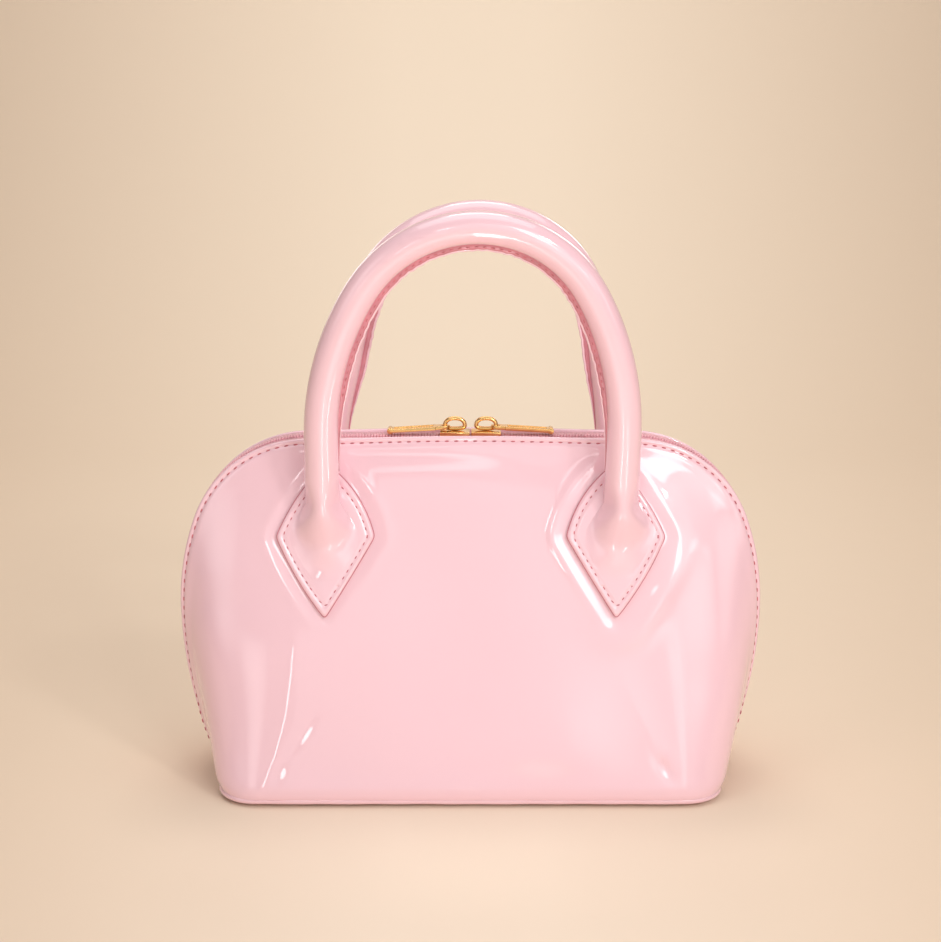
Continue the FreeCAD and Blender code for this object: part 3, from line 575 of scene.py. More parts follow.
def tab_outline(side_x, count=60):
    """Diamond with bowed edges and slightly rounded corners, as (across, up) from the side corner line."""
    s = handle_sizes()
    half = s.tab_width / 2
    corners = np.array([(half, 0), (0, s.tab_rise), (-half, 0), (0, -s.tab_drop)])
    bows = (1.6, 3.0, 0.2, 1.2) if side_x > 0 else (3.0, 1.6, 1.2, 0.2)
    line = []
    for n in range(4):
        a, b = corners[n], corners[(n + 1) % 4]
        out = unit(np.array([(b - a)[1], -(b - a)[0]]))
        t = np.linspace(0, 1, count, endpoint=False)[:, None]
        line.append(a + (b - a) * t + out * bows[n] * 4 * t * (1 - t))
    line = np.concatenate(line)
    for _ in range(6):
        line = (np.roll(line, 1, axis=0) + 2 * line + np.roll(line, -1, axis=0)) / 4
    return line


# Panels

# Rows of the skin: the rim's distances from the dome edge, which of them is sewn, and a count for the field.
RIM = (0.8, 1.1, 1.35, 1.6, 1.85, 2.1, 2.35, 2.6, 2.9, 3.3, 3.9, 4.8, 6.0, 7.5)
SEAM_ROW = RIM.index(2.1)
FIELD_ROWS = 92

# Samples down each column while its rows are placed, and half the length over which the crown bows up.
DOWN_SAMPLES = 141
CROWN_BOW_HALF = 62


def panel_skin(columns=401):
    """The front panel's outer skin as a grid from the dome edge to the base, still without any swelling.

    Returns the points and their distances from the dome edge.
    """
    s = body_sizes()
    dome, dome_joints = dome_half()
    base, base_joints = base_half()
    knots = (dome_joints / dome_joints[-1] + base_joints / base_joints[-1]) / 2
    u = np.linspace(-1, 1, columns)
    dome_at = np.sign(u) * monotone(knots, dome_joints, np.abs(u))
    base_at = np.sign(u) * monotone(knots, base_joints, np.abs(u))
    dome_at, base_at = soften(dome_at, 4.5), soften(base_at, 4.5)
    dome_at = np.clip(dome_at, -dome_joints[-1], dome_joints[-1])
    base_at = np.clip(base_at, -base_joints[-1], base_joints[-1])
    upper = at_distance(dome, np.abs(dome_at)) * np.stack([np.sign(u), np.ones(columns)], axis=1)
    lower = at_distance(base, np.abs(base_at)) * np.stack([np.sign(u), np.ones(columns)], axis=1)
    bow = s.crown_bow * np.clip(1 - (upper[:, 0] / CROWN_BOW_HALF) ** 2, 0, 1) ** 2
    top = np.stack([upper[:, 0], np.full(columns, -s.band_width / 2), upper[:, 1] + bow], axis=1)
    foot = np.stack([lower[:, 0], -lower[:, 1], np.full(columns, s.foot_height)], axis=1)
    edge = at_distance(top, np.linspace(0, along(top)[-1], 700))
    down = np.linspace(0, 1, DOWN_SAMPLES) ** 1.5
    grid = np.empty((len(RIM) + FIELD_ROWS, columns, 3))
    inset = np.empty(grid.shape[:2])
    for c in range(columns):
        samples = top[c] + (foot[c] - top[c]) * down[:, None]
        away = np.maximum.accumulate(distance_to(samples, edge)) + np.arange(DOWN_SAMPLES) * 1e-7
        scale = min(1, 0.7 * away[-1] / RIM[-1])
        rim = np.interp(np.array(RIM) * scale, away, down)
        field = rim[-1] + (1 - rim[-1]) * np.linspace(0, 1, FIELD_ROWS + 1)[1:]
        share = np.concatenate([rim, field])
        grid[:, c] = top[c] + (foot[c] - top[c]) * share[:, None]
        inset[:, c] = np.interp(share, down, away)
    return grid, inset


def skin_normals(grid):
    """Outward directions of the front panel's skin."""
    normals = unit(np.cross(np.gradient(grid, axis=1), np.gradient(grid, axis=0)))
    middle = normals[grid.shape[0] // 2, grid.shape[1] // 2]
    return normals if middle[1] < 0 else -normals


def tab_distance(grid, side_x):
    """Distance outside a tab's outline on the flat front, negative inside, and the angle round the tab."""
    origin, across, up, _ = tab_frame(side_x)
    flat = np.stack([(grid - origin) @ across, (grid - origin) @ up], axis=-1)
    line = tab_outline(side_x)
    away = distance_to(flat, closed(line))
    turn = np.arctan2(flat[..., 1], flat[..., 0])
    order = np.argsort(np.arctan2(line[:, 1], line[:, 0]))
    reach = np.interp(
        turn, np.arctan2(line[:, 1], line[:, 0])[order], np.hypot(*line.T)[order], period=2 * math.pi
    )
    return np.where(np.hypot(flat[..., 0], flat[..., 1]) < reach, -away, away), turn


def tab_frame(side_x):
    """Origin on the flat front at a tab's side corner line, and its across, up and outward directions."""
    s, h = body_sizes(), handle_sizes()
    slope = (s.base_depth - s.band_width) / 2 / (s.crown_height - s.foot_height)
    depth = s.base_depth / 2 - slope * (h.tab_height - s.foot_height)
    up = unit(np.array([0, slope, 1.0]))
    return np.array([side_x, -depth, h.tab_height]), np.array([1.0, 0, 0]), up, np.array([0, -up[2], up[1]])


# Middle (x, z), turn in degrees, length and depth of each dent.
DENTS = {
    FRONT: ((-61, 26.5, 55, 8.0, 0.155), (-69.5, 13, 60, 2.8, 0.14), (70.5, 15, -50, 4.0, 0.60)),
    BACK: ((64, 26, -62, 5.0, 0.38), (-66, 18, 50, 3.6, 0.36), (20, 40, 15, 8.0, 0.14)),
}


# Side, drop beyond the fold, and points (x, z) from the base upwards of each fold of the front.
CREASES = (
    (
        -1,
        0.72,
        ((-78, 0), (-77, 5), (-71.6, 18), (-67.5, 33), (-65.4, 47), (-64.2, 62), (-65.5, 74), (-70, 86)),
    ),
    (1, 0.34, ((74.5, 0), (69.6, 12), (67.1, 23), (61.6, 34), (55.5, 47), (51, 60))),
)


# Roundness of a fold's line, how far the leather falls off beside it, and how it fades at its upper end.
CREASE_ROUNDING, CREASE_RUN, CREASE_FADE = 0.5, 9, 18


def crease_relief(grid):
    """Soft folds that run from the tabs of the front to the corners of the base."""
    relief = np.zeros(grid.shape[:2])
    for turn, drop, points in CREASES:
        x, z = np.array(points).T
        aside = turn * (grid[..., 0] - np.interp(grid[..., 2], z, x))
        past = (aside + np.sqrt(aside**2 + CREASE_ROUNDING)) / 2
        relief -= drop * (1 - np.exp(-past / CREASE_RUN)) * ease((z[-1] - grid[..., 2]) / CREASE_FADE)
    return relief * (grid[..., 1] < -4)


# Distances from the dome seam and from the foot over which the swelling and the waves set in.
SWELL_INSET, SWELL_RISE = 26, 60
CALM_INSET, CALM_RISE = 14, 16
WAVES, WAVE_LENGTHS = 7, (34, 80)
DENT_WIDTH = 1.9

# Distance from a tab and width: of the ridge round it, the wider fold below it and the hollow at its edge.
PUCKER, WIDE_PUCKER, TAB_HOLLOW = (5.4, 2.0), (9.0, 4.4), (0.8, 1.6)

# Side of a tab, height of its ridge, share of the wider fold, and its slack: share, angle and width.
TAB_PULLS = ((-1, 0.30, 0, 0.95, -1.4, 0.8), (1, 0.52, 1, 0.65, 0.85, 0.6))


def panel_relief(grid, inset, side, seed):
    """Outward relief of a panel: swelling, stretched waves, sewn groove, dents and the pull of the tabs."""
    s, h = body_sizes(), handle_sizes()
    rise = grid[..., 2] - s.foot_height
    relief = s.bulge * ease(inset / SWELL_INSET) * ease(rise / SWELL_RISE)
    random = np.random.default_rng(seed)
    calm = ease(inset / CALM_INSET) * ease(rise / CALM_RISE)
    for _ in range(WAVES):
        heading, phase = random.uniform(0, math.pi), random.uniform(0, 2 * math.pi)
        wave = 2 * math.pi / random.uniform(*WAVE_LENGTHS)
        path = grid[..., 0] * math.cos(heading) + grid[..., 2] * math.sin(heading)
        relief += s.ripple * calm * np.sin(wave * path + phase)
    sewn = 0.2 * hump(inset, 1.1, 0.6) - s.seam_groove * hump(inset, s.seam_inset, 0.5)
    relief += (sewn + 0.16 * hump(inset, 4.2, 1.5)) * ease(rise / 7)
    relief -= s.foot_roll * np.clip(1 - rise / 4.5, 0, 1) ** 2
    if side == FRONT:
        relief += crease_relief(grid) * ease(inset / 8)
    for x, z, turn, length, depth in DENTS[side]:
        c, sn = math.cos(math.radians(turn)), math.sin(math.radians(turn))
        lengthwise = (grid[..., 0] - x) * c + (grid[..., 2] - z) * sn
        across = (grid[..., 2] - z) * c - (grid[..., 0] - x) * sn
        front = grid[..., 1] < -6
        relief -= front * depth * hump(lengthwise, 0, length) * hump(across, 0, DENT_WIDTH)
    for sign, pull, wide_fold, loose, loose_turn, loose_width in TAB_PULLS:
        away, turn = tab_distance(grid, sign * h.tab_spacing / 2)
        fold = wide_fold * hump(turn, -0.85, 0.85)
        slack = 1 - loose * hump(turn, loose_turn, loose_width)
        ridge = (1 - fold) * slack * hump(away, *PUCKER) + 2.1 * fold * hump(away, *WIDE_PUCKER)
        relief += pull * ridge * calm - 0.15 * hump(away, *TAB_HOLLOW)
    return relief


# How the foot of a panel turns in, as (inwards, below), and the level where its stitching ends.
FOOT_TUCK = ((0.15, 0.35), (0.5, 0.65), (1.2, 0.85), (1.9, 0.9))
SEAM_FOOT = 8


def build_panel(name, side, seed):
    """One bent panel with a rolled rim; returns it with its stitch line and the directions out of it."""
    s = body_sizes()
    grid, inset = panel_skin()
    normals = skin_normals(grid)
    grid = grid + normals * panel_relief(grid, inset, side, seed)[..., None]
    normals = skin_normals(grid)
    radius = s.leather / 2
    inward = unit(grid[2] - grid[0])
    heading = unit(np.gradient(grid[0], axis=0))
    inward = unit(inward - heading * (inward * heading).sum(-1, keepdims=True))
    hub = grid[0] - normals[0] * radius
    roll = [
        hub + radius * (normals[0] * math.cos(a) - inward * math.sin(a))
        for a in np.radians((150, 120, 90, 60, 30))
    ]
    inner_rows = [0, 5, len(RIM) - 1] + list(range(len(RIM) + 4, len(grid), 8)) + [len(grid) - 1]
    inner = [grid[r] - normals[r] * s.leather for r in sorted(set(inner_rows))]
    level = normals[-1] * (1, 1, 0)
    tuck = [grid[-1] - level * inwards - (0, 0, below) for inwards, below in FOOT_TUCK]
    rows = inner[::-1] + roll + list(grid) + tuck
    points = np.array(rows)
    columns = grid.shape[1]
    faces = grid_faces(len(rows), columns, close_rows=True)
    faces.append(tuple(r * columns for r in range(len(rows))))
    faces.append(tuple(r * columns + columns - 1 for r in range(len(rows))))
    flip = flip_for(side)
    piece = add_piece(name, points.reshape(-1, 3) * flip, faces, "patent_leather")
    seam = grid[SEAM_ROW]
    keep = seam[:, 2] > SEAM_FOOT
    return piece, seam[keep] * flip, normals[SEAM_ROW][keep] * flip


def surface_of(piece, side):
    """A search tree over a panel's faces in metres, turned to the front if it is the back panel."""
    work = bmesh.new()
    work.from_mesh(piece.data)
    if side == BACK:
        for vert in work.verts:
            vert.co.y = -vert.co.y
    tree = BVHTree.FromBMesh(work)
    work.free()
    return tree


# Stitches and coil by geometry nodes

# Nodes that set stitches along a line, and their links as (node, output, node, input).
SEWN_NODES = {
    "source": "NodeGroupInput",
    "curve": "GeometryNodeMeshToCurve",
    "spaced": "GeometryNodeResampleCurve",
    "tangent": "GeometryNodeInputTangent",
    "outward": "GeometryNodeInputNamedAttribute",
    "axes": "FunctionNodeAxesToRotation",
    "stitch": "GeometryNodeMeshUVSphere",
    "scale": "ShaderNodeCombineXYZ",
    "shaped": "GeometryNodeTransform",
    "slant": "ShaderNodeCombineXYZ",
    "smooth": "GeometryNodeSetShadeSmooth",
    "copies": "GeometryNodeInstanceOnPoints",
    "real": "GeometryNodeRealizeInstances",
    "coat": "GeometryNodeSetMaterial",
    "result": "NodeGroupOutput",
}
SEWN_LINKS = (
    ("source", "Geometry", "curve", "Mesh"),
    ("curve", 0, "spaced", "Curve"),
    ("source", "Pitch", "spaced", "Length"),
    ("outward", "Attribute", "axes", 0),
    ("tangent", 0, "axes", 1),
    ("source", "Length", "scale", "X"),
    ("source", "Width", "scale", "Y"),
    ("source", "Height", "scale", "Z"),
    ("source", "Slant", "slant", "Z"),
    ("stitch", "Mesh", "shaped", "Geometry"),
    ("scale", 0, "shaped", "Scale"),
    ("slant", 0, "shaped", "Rotation"),
    ("shaped", 0, "smooth", "Geometry"),
    ("spaced", 0, "copies", "Points"),
    ("smooth", 0, "copies", "Instance"),
    ("axes", 0, "copies", "Rotation"),
    ("copies", 0, "real", 0),
    ("real", 0, "coat", "Geometry"),
    ("source", "Material", "coat", "Material"),
    ("coat", 0, "result", 0),
)


def repeat_tree():
    """Geometry nodes that set a rounded stitch at every pitch of a line, lying along it."""
    tree = bpy.data.node_groups.get("sewn_line") or bpy.data.node_groups.new("sewn_line", "GeometryNodeTree")
    if tree.nodes:
        return tree
    sockets = [("Geometry", "Geometry")]
    sockets += [(name, "Float") for name in ("Pitch", "Length", "Width", "Height", "Slant")]
    sockets += [("Material", "Material")]
    for name, kind in sockets:
        tree.interface.new_socket(name, in_out="INPUT", socket_type=f"NodeSocket{kind}")
    tree.interface.new_socket("Geometry", in_out="OUTPUT", socket_type="NodeSocketGeometry")
    nodes = {name: tree.nodes.new(kind) for name, kind in SEWN_NODES.items()}
    nodes["spaced"].mode = "LENGTH"
    nodes["outward"].data_type = "FLOAT_VECTOR"
    nodes["outward"].inputs["Name"].default_value = "outward"
    nodes["axes"].primary_axis, nodes["axes"].secondary_axis = "Z", "X"
    for label, value in (("Segments", 8), ("Rings", 6), ("Radius", 0.5)):
        nodes["stitch"].inputs[label].default_value = value
    for first, output, second, entry in SEWN_LINKS:
        tree.links.new(nodes[first].outputs[output], nodes[second].inputs[entry])
    return tree


def repeat_along(name, lines, material, **measures):
    """One mesh of stitches along several lines; each line is (points, outward directions) in millimetres."""
    points, outward, edges = [], [], []
    for line, out in lines:
        first = len(points)
        points.extend((np.asarray(line) * MM).tolist())
        outward.extend(unit(np.asarray(out)).tolist())
        edges.extend((first + n, first + n + 1) for n in range(len(line) - 1))
    mesh = bpy.data.meshes.new(f"{name}_line")
    mesh.from_pydata(points, edges, [])
    attribute = mesh.attributes.new("outward", "FLOAT_VECTOR", "POINT")
    attribute.data.foreach_set("vector", np.array(outward, np.float32).ravel())
    carrier = show(bpy.data.objects.new(f"{name}_line", mesh))
    tree = repeat_tree()
    modifier = carrier.modifiers.new("sewn_line", "NODES")
    modifier.node_group = tree
    sockets = {item.name: item.identifier for item in tree.interface.items_tree if item.in_out == "INPUT"}
    for label, value in measures.items():
        modifier[sockets[label.capitalize()]] = value if label == "slant" else value * MM
    modifier[sockets["Material"]] = finish_named(material)
    graph = bpy.context.evaluated_depsgraph_get()
    made = bpy.data.meshes.new_from_object(carrier.evaluated_get(graph))
    carrier.modifiers.remove(modifier)
    bpy.data.objects.remove(carrier)
    return show(bpy.data.objects.new(name, made))


# Handles

LINE_SOFTNESS = 4.0

# The back handle's legs lean together by this share, its top is wider, and it is set to the right.
BACK_NARROW, BACK_WIDE, BACK_SHIFT = 0.05, 0.07, 1.1

# Points round a section, length at each root that only the swelling covers, and radius of the cord.
AROUND = 64
BARE_ROOT = 12
CORD_RADIUS = 4.2

# Start, end and sections of the swelling along the leg, its half width, and its distance from the tab's edge.
SWELLING_START, SWELLING_END, SWELLING_SECTIONS = -33, 12, 76
SWELLING_HALF = 13.0
TAB_MARGIN = 3.2


def handle_line(side):
    """A handle's centre line in its own plane, from the right root to the left, every millimetre."""
    h = handle_sizes()
    turn = 90 - math.degrees(h.top_angle)
    leg = h.spacing / 2
    low = leg - h.leg_radius
    top = h.leg_radius + low / math.cos(math.radians(turn))
    centre = h.leg_length - low * math.tan(math.radians(turn))
    half = np.concatenate(
        [
            np.stack([np.full(40, leg), np.linspace(0, h.leg_length, 40)], axis=1),
            bend(low, h.leg_length, h.leg_radius, 0, turn)[1:],
            bend(0, centre, top, turn, 90)[1:],
        ]
    )
    line = np.concatenate([half, half[-2::-1] * (-1, 1)])
    count = int(along(line)[-1])
    line = at_distance(line, np.linspace(0, along(line)[-1], count))
    line[3:-3] = soften(line, LINE_SOFTNESS)[3:-3]
    rise = line[:, 1]
    if side == BACK:
        narrow, wide = ease((rise - 14) / 32), ease((rise - 36) / 58)
        line[:, 0] *= 1 - BACK_NARROW * narrow + BACK_WIDE * wide
        line[:, 0] += BACK_SHIFT * ease((rise - 14) / 44)
    line[:, 0] += h.shift + h.drift * (rise / 100) ** 1.5
    return line


def handle_directions():
    """Upwards along a handle's plane and out of its front, for the front handle."""
    lean = handle_sizes().lean
    return np.array([0, -math.sin(lean), math.cos(lean)]), np.array([0, -math.cos(lean), -math.sin(lean)])


def handle_stations(side):
    """Centre, arch-outward direction and radius of the tube at every millimetre."""
    h = handle_sizes()
    line = handle_line(side)
    up, _ = handle_directions()
    root = np.array([0, -h.root_depth, h.root_height])
    centres = root + line[:, :1] * (1, 0, 0) + line[:, 1:] * up
    heading = unit(np.gradient(line, axis=0))
    outward = heading[:, 1:] * (1, 0, 0) - heading[:, :1] * up
    height = line[:, 1] / line[:, 1].max()
    radius = h.root_radius + (h.crown_radius - h.root_radius) * ease(height)
    return centres, outward, radius


def swelling(sign, panel):
    """Sections of the leather where a handle leg fades into its tab, from the swelling's tip to the leg."""
    h = handle_sizes()
    origin, across, up, out = tab_frame(sign * h.tab_spacing / 2)
    axis, front = handle_directions()
    root = np.array([sign * h.spacing / 2 + h.shift, -h.root_depth, h.root_height])
    theta = full_turn(AROUND)
    sections = []
    aside = (root - origin) @ across
    for travel in np.linspace(SWELLING_START, SWELLING_END, SWELLING_SECTIONS):
        rise = h.root_rise + travel * float(axis @ up)
        # The round leg, which takes over above the root.
        tube = root + axis * travel + h.root_radius * circle(theta, front, across)
        blend = float(ease((travel + 8) / 18))
        # The leather over its end: the middle sinks and spreads towards the tip, inside the tab's edges.
        lift = h.root_lift + travel * float(axis @ out) - 4.2 * float(ease((8 - rise) / 18))
        room = h.tab_width / 2 * (1 + rise / h.tab_drop if rise < 0 else 1 - rise / h.tab_rise)
        half = max(h.root_radius, min(SWELLING_HALF, room - TAB_MARGIN))
        x = half * np.sin(theta)
        spread = h.root_radius + 4.4 * float(ease((13 - rise) / 14))
        arch = np.cos(np.clip(x / spread, -1.9, 1.9) * math.pi / 2)
        crest = lift + h.root_radius * arch - h.tab_thickness
        # Rounded off where it meets the tab, and faded out at its sides and its tip.
        soft = 2.0 + 2.4 * float(ease((4 - rise) / 14))
        crest = (crest + np.sqrt(crest**2 + soft**2)) / 2
        crest *= (1 - np.sin(theta) ** 4) ** 1.3 * float(ease((rise + 18) / 12))
        crest = np.where(np.cos(theta) > 0, crest, 0.9 * np.cos(theta))
        # Laid on the panel's own skin.
        flat = origin + across * (x + aside * float(ease((rise + 12) / 18)))[:, None] + up * rise
        ground = np.array([height_over(panel, point, out) for point in flat])
        tab = flat + out * (ground + 1.05 * h.tab_thickness + crest)[:, None]
        sections.append(tab + (tube - tab) * blend)
    return sections


# Distance in front of a panel from which its skin is looked for.
PROBE = 30


def height_over(panel, point, out):
    """Height of a panel's skin over the flat front at a point, in millimetres."""
    start = Vector((point + out * PROBE) * MM)
    hit = panel.ray_cast(start, Vector(-out))
    return PROBE - hit[3] / MM if hit[0] else 0.0


def build_handle(name, side, panel):
    """One rolled handle that grows out of its two tabs."""
    centres, outward, radius = handle_stations(side)
    _, front = handle_directions()
    theta = full_turn(AROUND)
    mirrored = (-np.arange(AROUND)) % AROUND
    right = swelling(1, panel)
    left = [section[mirrored] for section in swelling(-1, panel)]
    middle = range(BARE_ROOT + 2, len(centres) - BARE_ROOT - 2, 2)
    tube = [centres[n] + radius[n] * circle(theta, front, outward[n]) for n in middle]
    stations = np.array(right + tube + left[::-1])
    flip = flip_for(side)
    faces = tube_faces(len(stations), AROUND)
    return add_piece(name, stations.reshape(-1, 3) * flip, faces, "patent_leather")


def build_core(name, side):
    """The cord inside a handle."""
    centres, outward, _ = handle_stations(side)
    _, front = handle_directions()
    turn = full_turn(20)
    flip = flip_for(side)
    stops = range(BARE_ROOT, len(centres) - BARE_ROOT, 3)
    rows = np.array([centres[n] + CORD_RADIUS * circle(turn, front, outward[n]) for n in stops])
    return add_piece(name, rows.reshape(-1, 3) * flip, tube_faces(len(rows), len(turn)), "handle_cord")


# Height of the seam over the tube, how deep it starts inside, and its fade-out at each end.
FIN_HEIGHT, FIN_ROOT, FIN_FADE = 1.75, 1.6, 40


def build_fin(name, side):
    """The edge-painted seam along the inner side of a handle, with the bead of leather behind it; the paint's
    dark rose is partly painted shade for the shadow in the seam's groove.

    Returns both pieces and the stitch line.
    """
    centres, outward, radius = handle_stations(side)
    _, front = handle_directions()
    span = range(BARE_ROOT, len(centres) - BARE_ROOT, 2)
    travelled = np.arange(len(centres))
    pucker = 0.16 * np.sin(travelled * 0.9) * np.sin(travelled * 0.37) + 0.1 * np.sin(travelled * 1.7)
    fade = ease((travelled - BARE_ROOT) / FIN_FADE) * ease((len(centres) - BARE_ROOT - travelled) / FIN_FADE)
    turn = full_turn(14)
    rows, beads, seam, seam_out = [], [], [], []
    for n in span:
        inward = -outward[n]
        sway = pucker[n] * 0.4
        reach = (FIN_HEIGHT + pucker[n]) * fade[n] + 0.1
        depth = radius[n] - FIN_ROOT + (reach + FIN_ROOT) * (0.5 - 0.5 * np.cos(turn))
        square = np.sign(np.sin(turn)) * np.abs(np.sin(turn)) ** 0.55
        thick = (0.2 + 0.7 * fade[n]) * square + sway
        rows.append(centres[n] + depth[:, None] * inward + thick[:, None] * front)
        hub = centres[n] + (radius[n] + reach + 0.12) * inward - (0.3 - sway) * front
        size = 0.42 * fade[n] + 0.1
        beads.append(hub + size * circle(turn, inward, front))
        if fade[n] > 0.85:
            seam.append(centres[n] + (radius[n] + reach * 0.45) * inward + (0.92 + sway) * front)
            seam_out.append(front)
    flip = flip_for(side)
    pieces = []
    # Painted shade: the fin's edge paint is dark enough to stand for the shadow in the seam's groove.
    for label, sections, material in (("fin", rows, "edge_paint"), ("bead", beads, "patent_leather")):
        points = np.array(sections)
        faces = tube_faces(len(points), len(turn))
        pieces.append(add_piece(f"{name}_{label}", points.reshape(-1, 3) * flip, faces, material))
    return pieces, (np.array(seam) * flip, np.array(seam_out) * flip)


# Rings of a tab from its underside over its edge to its middle: inset, and height in thicknesses.
TAB_RINGS = (
    *((0.9, 0.0), (0.35, 0.0), (0.06, 0.22), (0.0, 0.5), (0.1, 0.8), (0.4, 1.0)),
    *((0.9, 1.10), (1.4, 1.06), (1.8, 0.92), (2.1, 0.86), (2.4, 0.92), (2.9, 1.04), (3.6, 1.06)),
    *((inset, 1.05) for inset in (5, 7, 9, 11, 13, 14.8)),
)
RIM_RING, SEAM_RING = TAB_RINGS.index((0.0, 0.5)), TAB_RINGS.index((2.1, 0.86))

# Distance from a tab's middle to its edges, its glue line, and the bead of paint on its edge, whose dark
# colour is partly painted shade.
TAB_INRADIUS = 15.6
TAB_GLUE = 0.05
EDGE_WIDTH, EDGE_HEIGHT = 0.26, 0.55


def build_tab(name, side, side_x, panel):
    """A diamond tab that lies on its panel; returns it with its stitch line and its rim."""
    h = handle_sizes()
    origin, across, up, out = tab_frame(side_x)
    line = tab_outline(side_x)
    rows = []
    for inset, height in TAB_RINGS:
        flat = line * (1 - inset / TAB_INRADIUS)
        points = origin + flat[:, :1] * across + flat[:, 1:] * up
        ground = np.array([height_over(panel, point, out) for point in points])
        rows.append(points + out * (ground + TAB_GLUE + height * h.tab_thickness)[:, None])
    rows = np.array(rows)
    faces = tube_faces(len(rows), len(line))
    flip = flip_for(side)
    piece = add_piece(name, rows.reshape(-1, 3) * flip, faces, "patent_leather")
    stitched = closed(rows[SEAM_RING]) * flip
    return piece, (stitched, np.tile(out * flip, (len(stitched), 1))), (rows[RIM_RING] * flip, out * flip)


def build_tab_edges(loops):
    """Paint on the cut edges of the tabs, its dark rose partly painted shade along their edges: a closed bead
    along each loop of points.
    """
    points, faces = [], []
    turn = full_turn(10)
    for line, out in loops:
        aside = unit(np.cross(loop_heading(line), out))[:, None]
        c, s = np.cos(turn)[None, :, None], np.sin(turn)[None, :, None]
        bead = EDGE_WIDTH * c * aside + EDGE_HEIGHT * s * out
        first = len(points)
        points.extend((line[:, None] + bead).reshape(-1, 3))
        faces.extend(tuple(first + n for n in face) for face in grid_faces(len(line), len(turn), True, True))
    return add_piece("tab_edge_paint", points, faces, "edge_paint")


# Base, gussets and zip


def base_ring(inset, count=240):
    """The base outline drawn in, as (x, y) all the way round, with directions outwards."""
    s = body_sizes()
    x, y = s.base_length / 2 - s.base_corner, s.base_depth / 2 - s.base_corner
    r = s.base_corner - inset
    corners = ((1, 1, 0), (-1, 1, 90), (-1, -1, 180), (1, -1, 270))
    line = np.concatenate([bend(sx * x, sy * y, r, a, a + 90, 40) for sx, sy, a in corners])
    line = closed(line)
    line = at_distance(line, np.linspace(0, along(line)[-1], count, endpoint=False))
    heading = loop_heading(line)
    return line, np.stack([heading[:, 1], -heading[:, 0]], axis=1)


# Place and radius of the piping.
PIPING_INSET, PIPING_HEIGHT, PIPING_RADIUS = 2.5, 2.45, 1.25


def build_piping():
    """Leather piping round the base, a little uneven along its seam."""
    line, out = base_ring(PIPING_INSET)
    turn = full_turn(16)
    wander = 0.05 * np.sin(np.arange(len(line)) * 0.7) + 0.04 * np.sin(np.arange(len(line)) * 0.23)
    radius = PIPING_RADIUS + wander[:, None]
    flat = line[:, None, :] + out[:, None, :] * (radius * np.cos(turn))[..., None]
    height = PIPING_HEIGHT + radius * np.sin(turn)
    points = np.concatenate([flat, height[..., None]], axis=-1)
    faces = grid_faces(len(line), len(turn), True, True)
    return add_piece("base_piping_cord", points.reshape(-1, 3), faces, "patent_leather")


# Inset and height of the base leather, from its inner face over its edge to its underside.
BASE_SECTION = (
    *((30, 2.6), (8, 2.6), (4.0, 2.6), (3.4, 2.3), (3.5, 1.9), (4.6, 1.6)),
    *((7, 1.25), (10, 0.8), (14, 0.25), (18, 0.0), (24, 0.1)),
)

# Beyond this inset the outline, whose corners have little radius left, is scaled down instead.
DEEPEST_INSET, SCALED_HALF = 15, 60


def build_base():
    """The base leather with rounded edges and a slightly hollow underside."""
    rows = []
    for inset, height in BASE_SECTION:
        line, _ = base_ring(min(inset, DEEPEST_INSET))
        shrink = 1 - max(0, inset - DEEPEST_INSET) / SCALED_HALF
        rows.append(np.concatenate([line * shrink, np.full((len(line), 1), height)], axis=1))
    rows = np.array(rows)
    faces = tube_faces(*rows.shape[:2])
    return add_piece("base_leather", rows.reshape(-1, 3), faces, "patent_leather")


def strip_along(name, line, out, section, material):
    """A strip that follows a line in the XZ plane; section is a closed loop of (y, height over the line)."""
    section = np.asarray(section, float)
    points = np.empty((len(line), len(section), 3))
    points[..., 0] = line[:, None, 0] + out[:, None, 0] * section[None, :, 1]
    points[..., 1] = section[None, :, 0]
    points[..., 2] = line[:, None, 1] + out[:, None, 1] * section[None, :, 1]
    return add_piece(name, points.reshape(-1, 3), tube_faces(len(line), len(section)), material)


def rounded(low, high, bottom, top, dip=0.0, count=9):
    """A flat section with rounded ends and an optional dip in its upper face."""
    radius = (top - bottom) / 2
    y = np.linspace(low + radius, high - radius, count)
    arch = dip * (1 - ((2 * y - low - high) / (high - low)) ** 2)
    upper = [(a, top - d) for a, d in zip(y, arch)]
    ends = np.radians((60, 30, 0, -30, -60))
    right = [(high - radius + radius * math.cos(a), (top + bottom) / 2 + radius * math.sin(a)) for a in ends]
    lower = [(a, bottom - d) for a, d in zip(y[::-1], arch)]
    left = [(low + radius - radius * math.cos(a), (top + bottom) / 2 - radius * math.sin(a)) for a in ends]
    return upper + right + lower + left


def dome_part(low, high):
    """Points of the dome outline between two levels, with their outward directions."""
    line, out = whole_dome()
    keep = (line[:, 1] >= low) & (line[:, 1] <= high)
    return line[keep], out[keep]


# Hardware

# Faces that meet at less than the first angle are joined, and edges sharper than the second are softened.
FLAT_ANGLE, EDGE_ANGLE = math.radians(1.5), math.radians(28)


def bevelled(name, node, width, material):
    """A copy of a CAD node's solid with softened edges, made a plain mesh."""
    mesh = frame["nodes"][node].data.copy()
    piece = show(bpy.data.objects.new(name, mesh))
    work = bmesh.new()
    work.from_mesh(mesh)
    bmesh.ops.remove_doubles(work, verts=work.verts, dist=2e-6)
    bmesh.ops.dissolve_limit(work, angle_limit=FLAT_ANGLE, verts=work.verts, edges=work.edges)
    bmesh.ops.recalc_face_normals(work, faces=work.faces)
    work.to_mesh(mesh)
    work.free()
    mesh.materials.clear()
    mesh.materials.append(finish_named(material))
    mesh.shade_smooth()
    bevel = piece.modifiers.new("softened", "BEVEL")
    bevel.width = width * MM
    bevel.segments = 3
    bevel.limit_method = "ANGLE"
    bevel.angle_limit = EDGE_ANGLE
    bevel.harden_normals = True
    graph = bpy.context.evaluated_depsgraph_get()
    piece.data = bpy.data.meshes.new_from_object(piece.evaluated_get(graph))
    piece.modifiers.remove(bevel)
    return piece


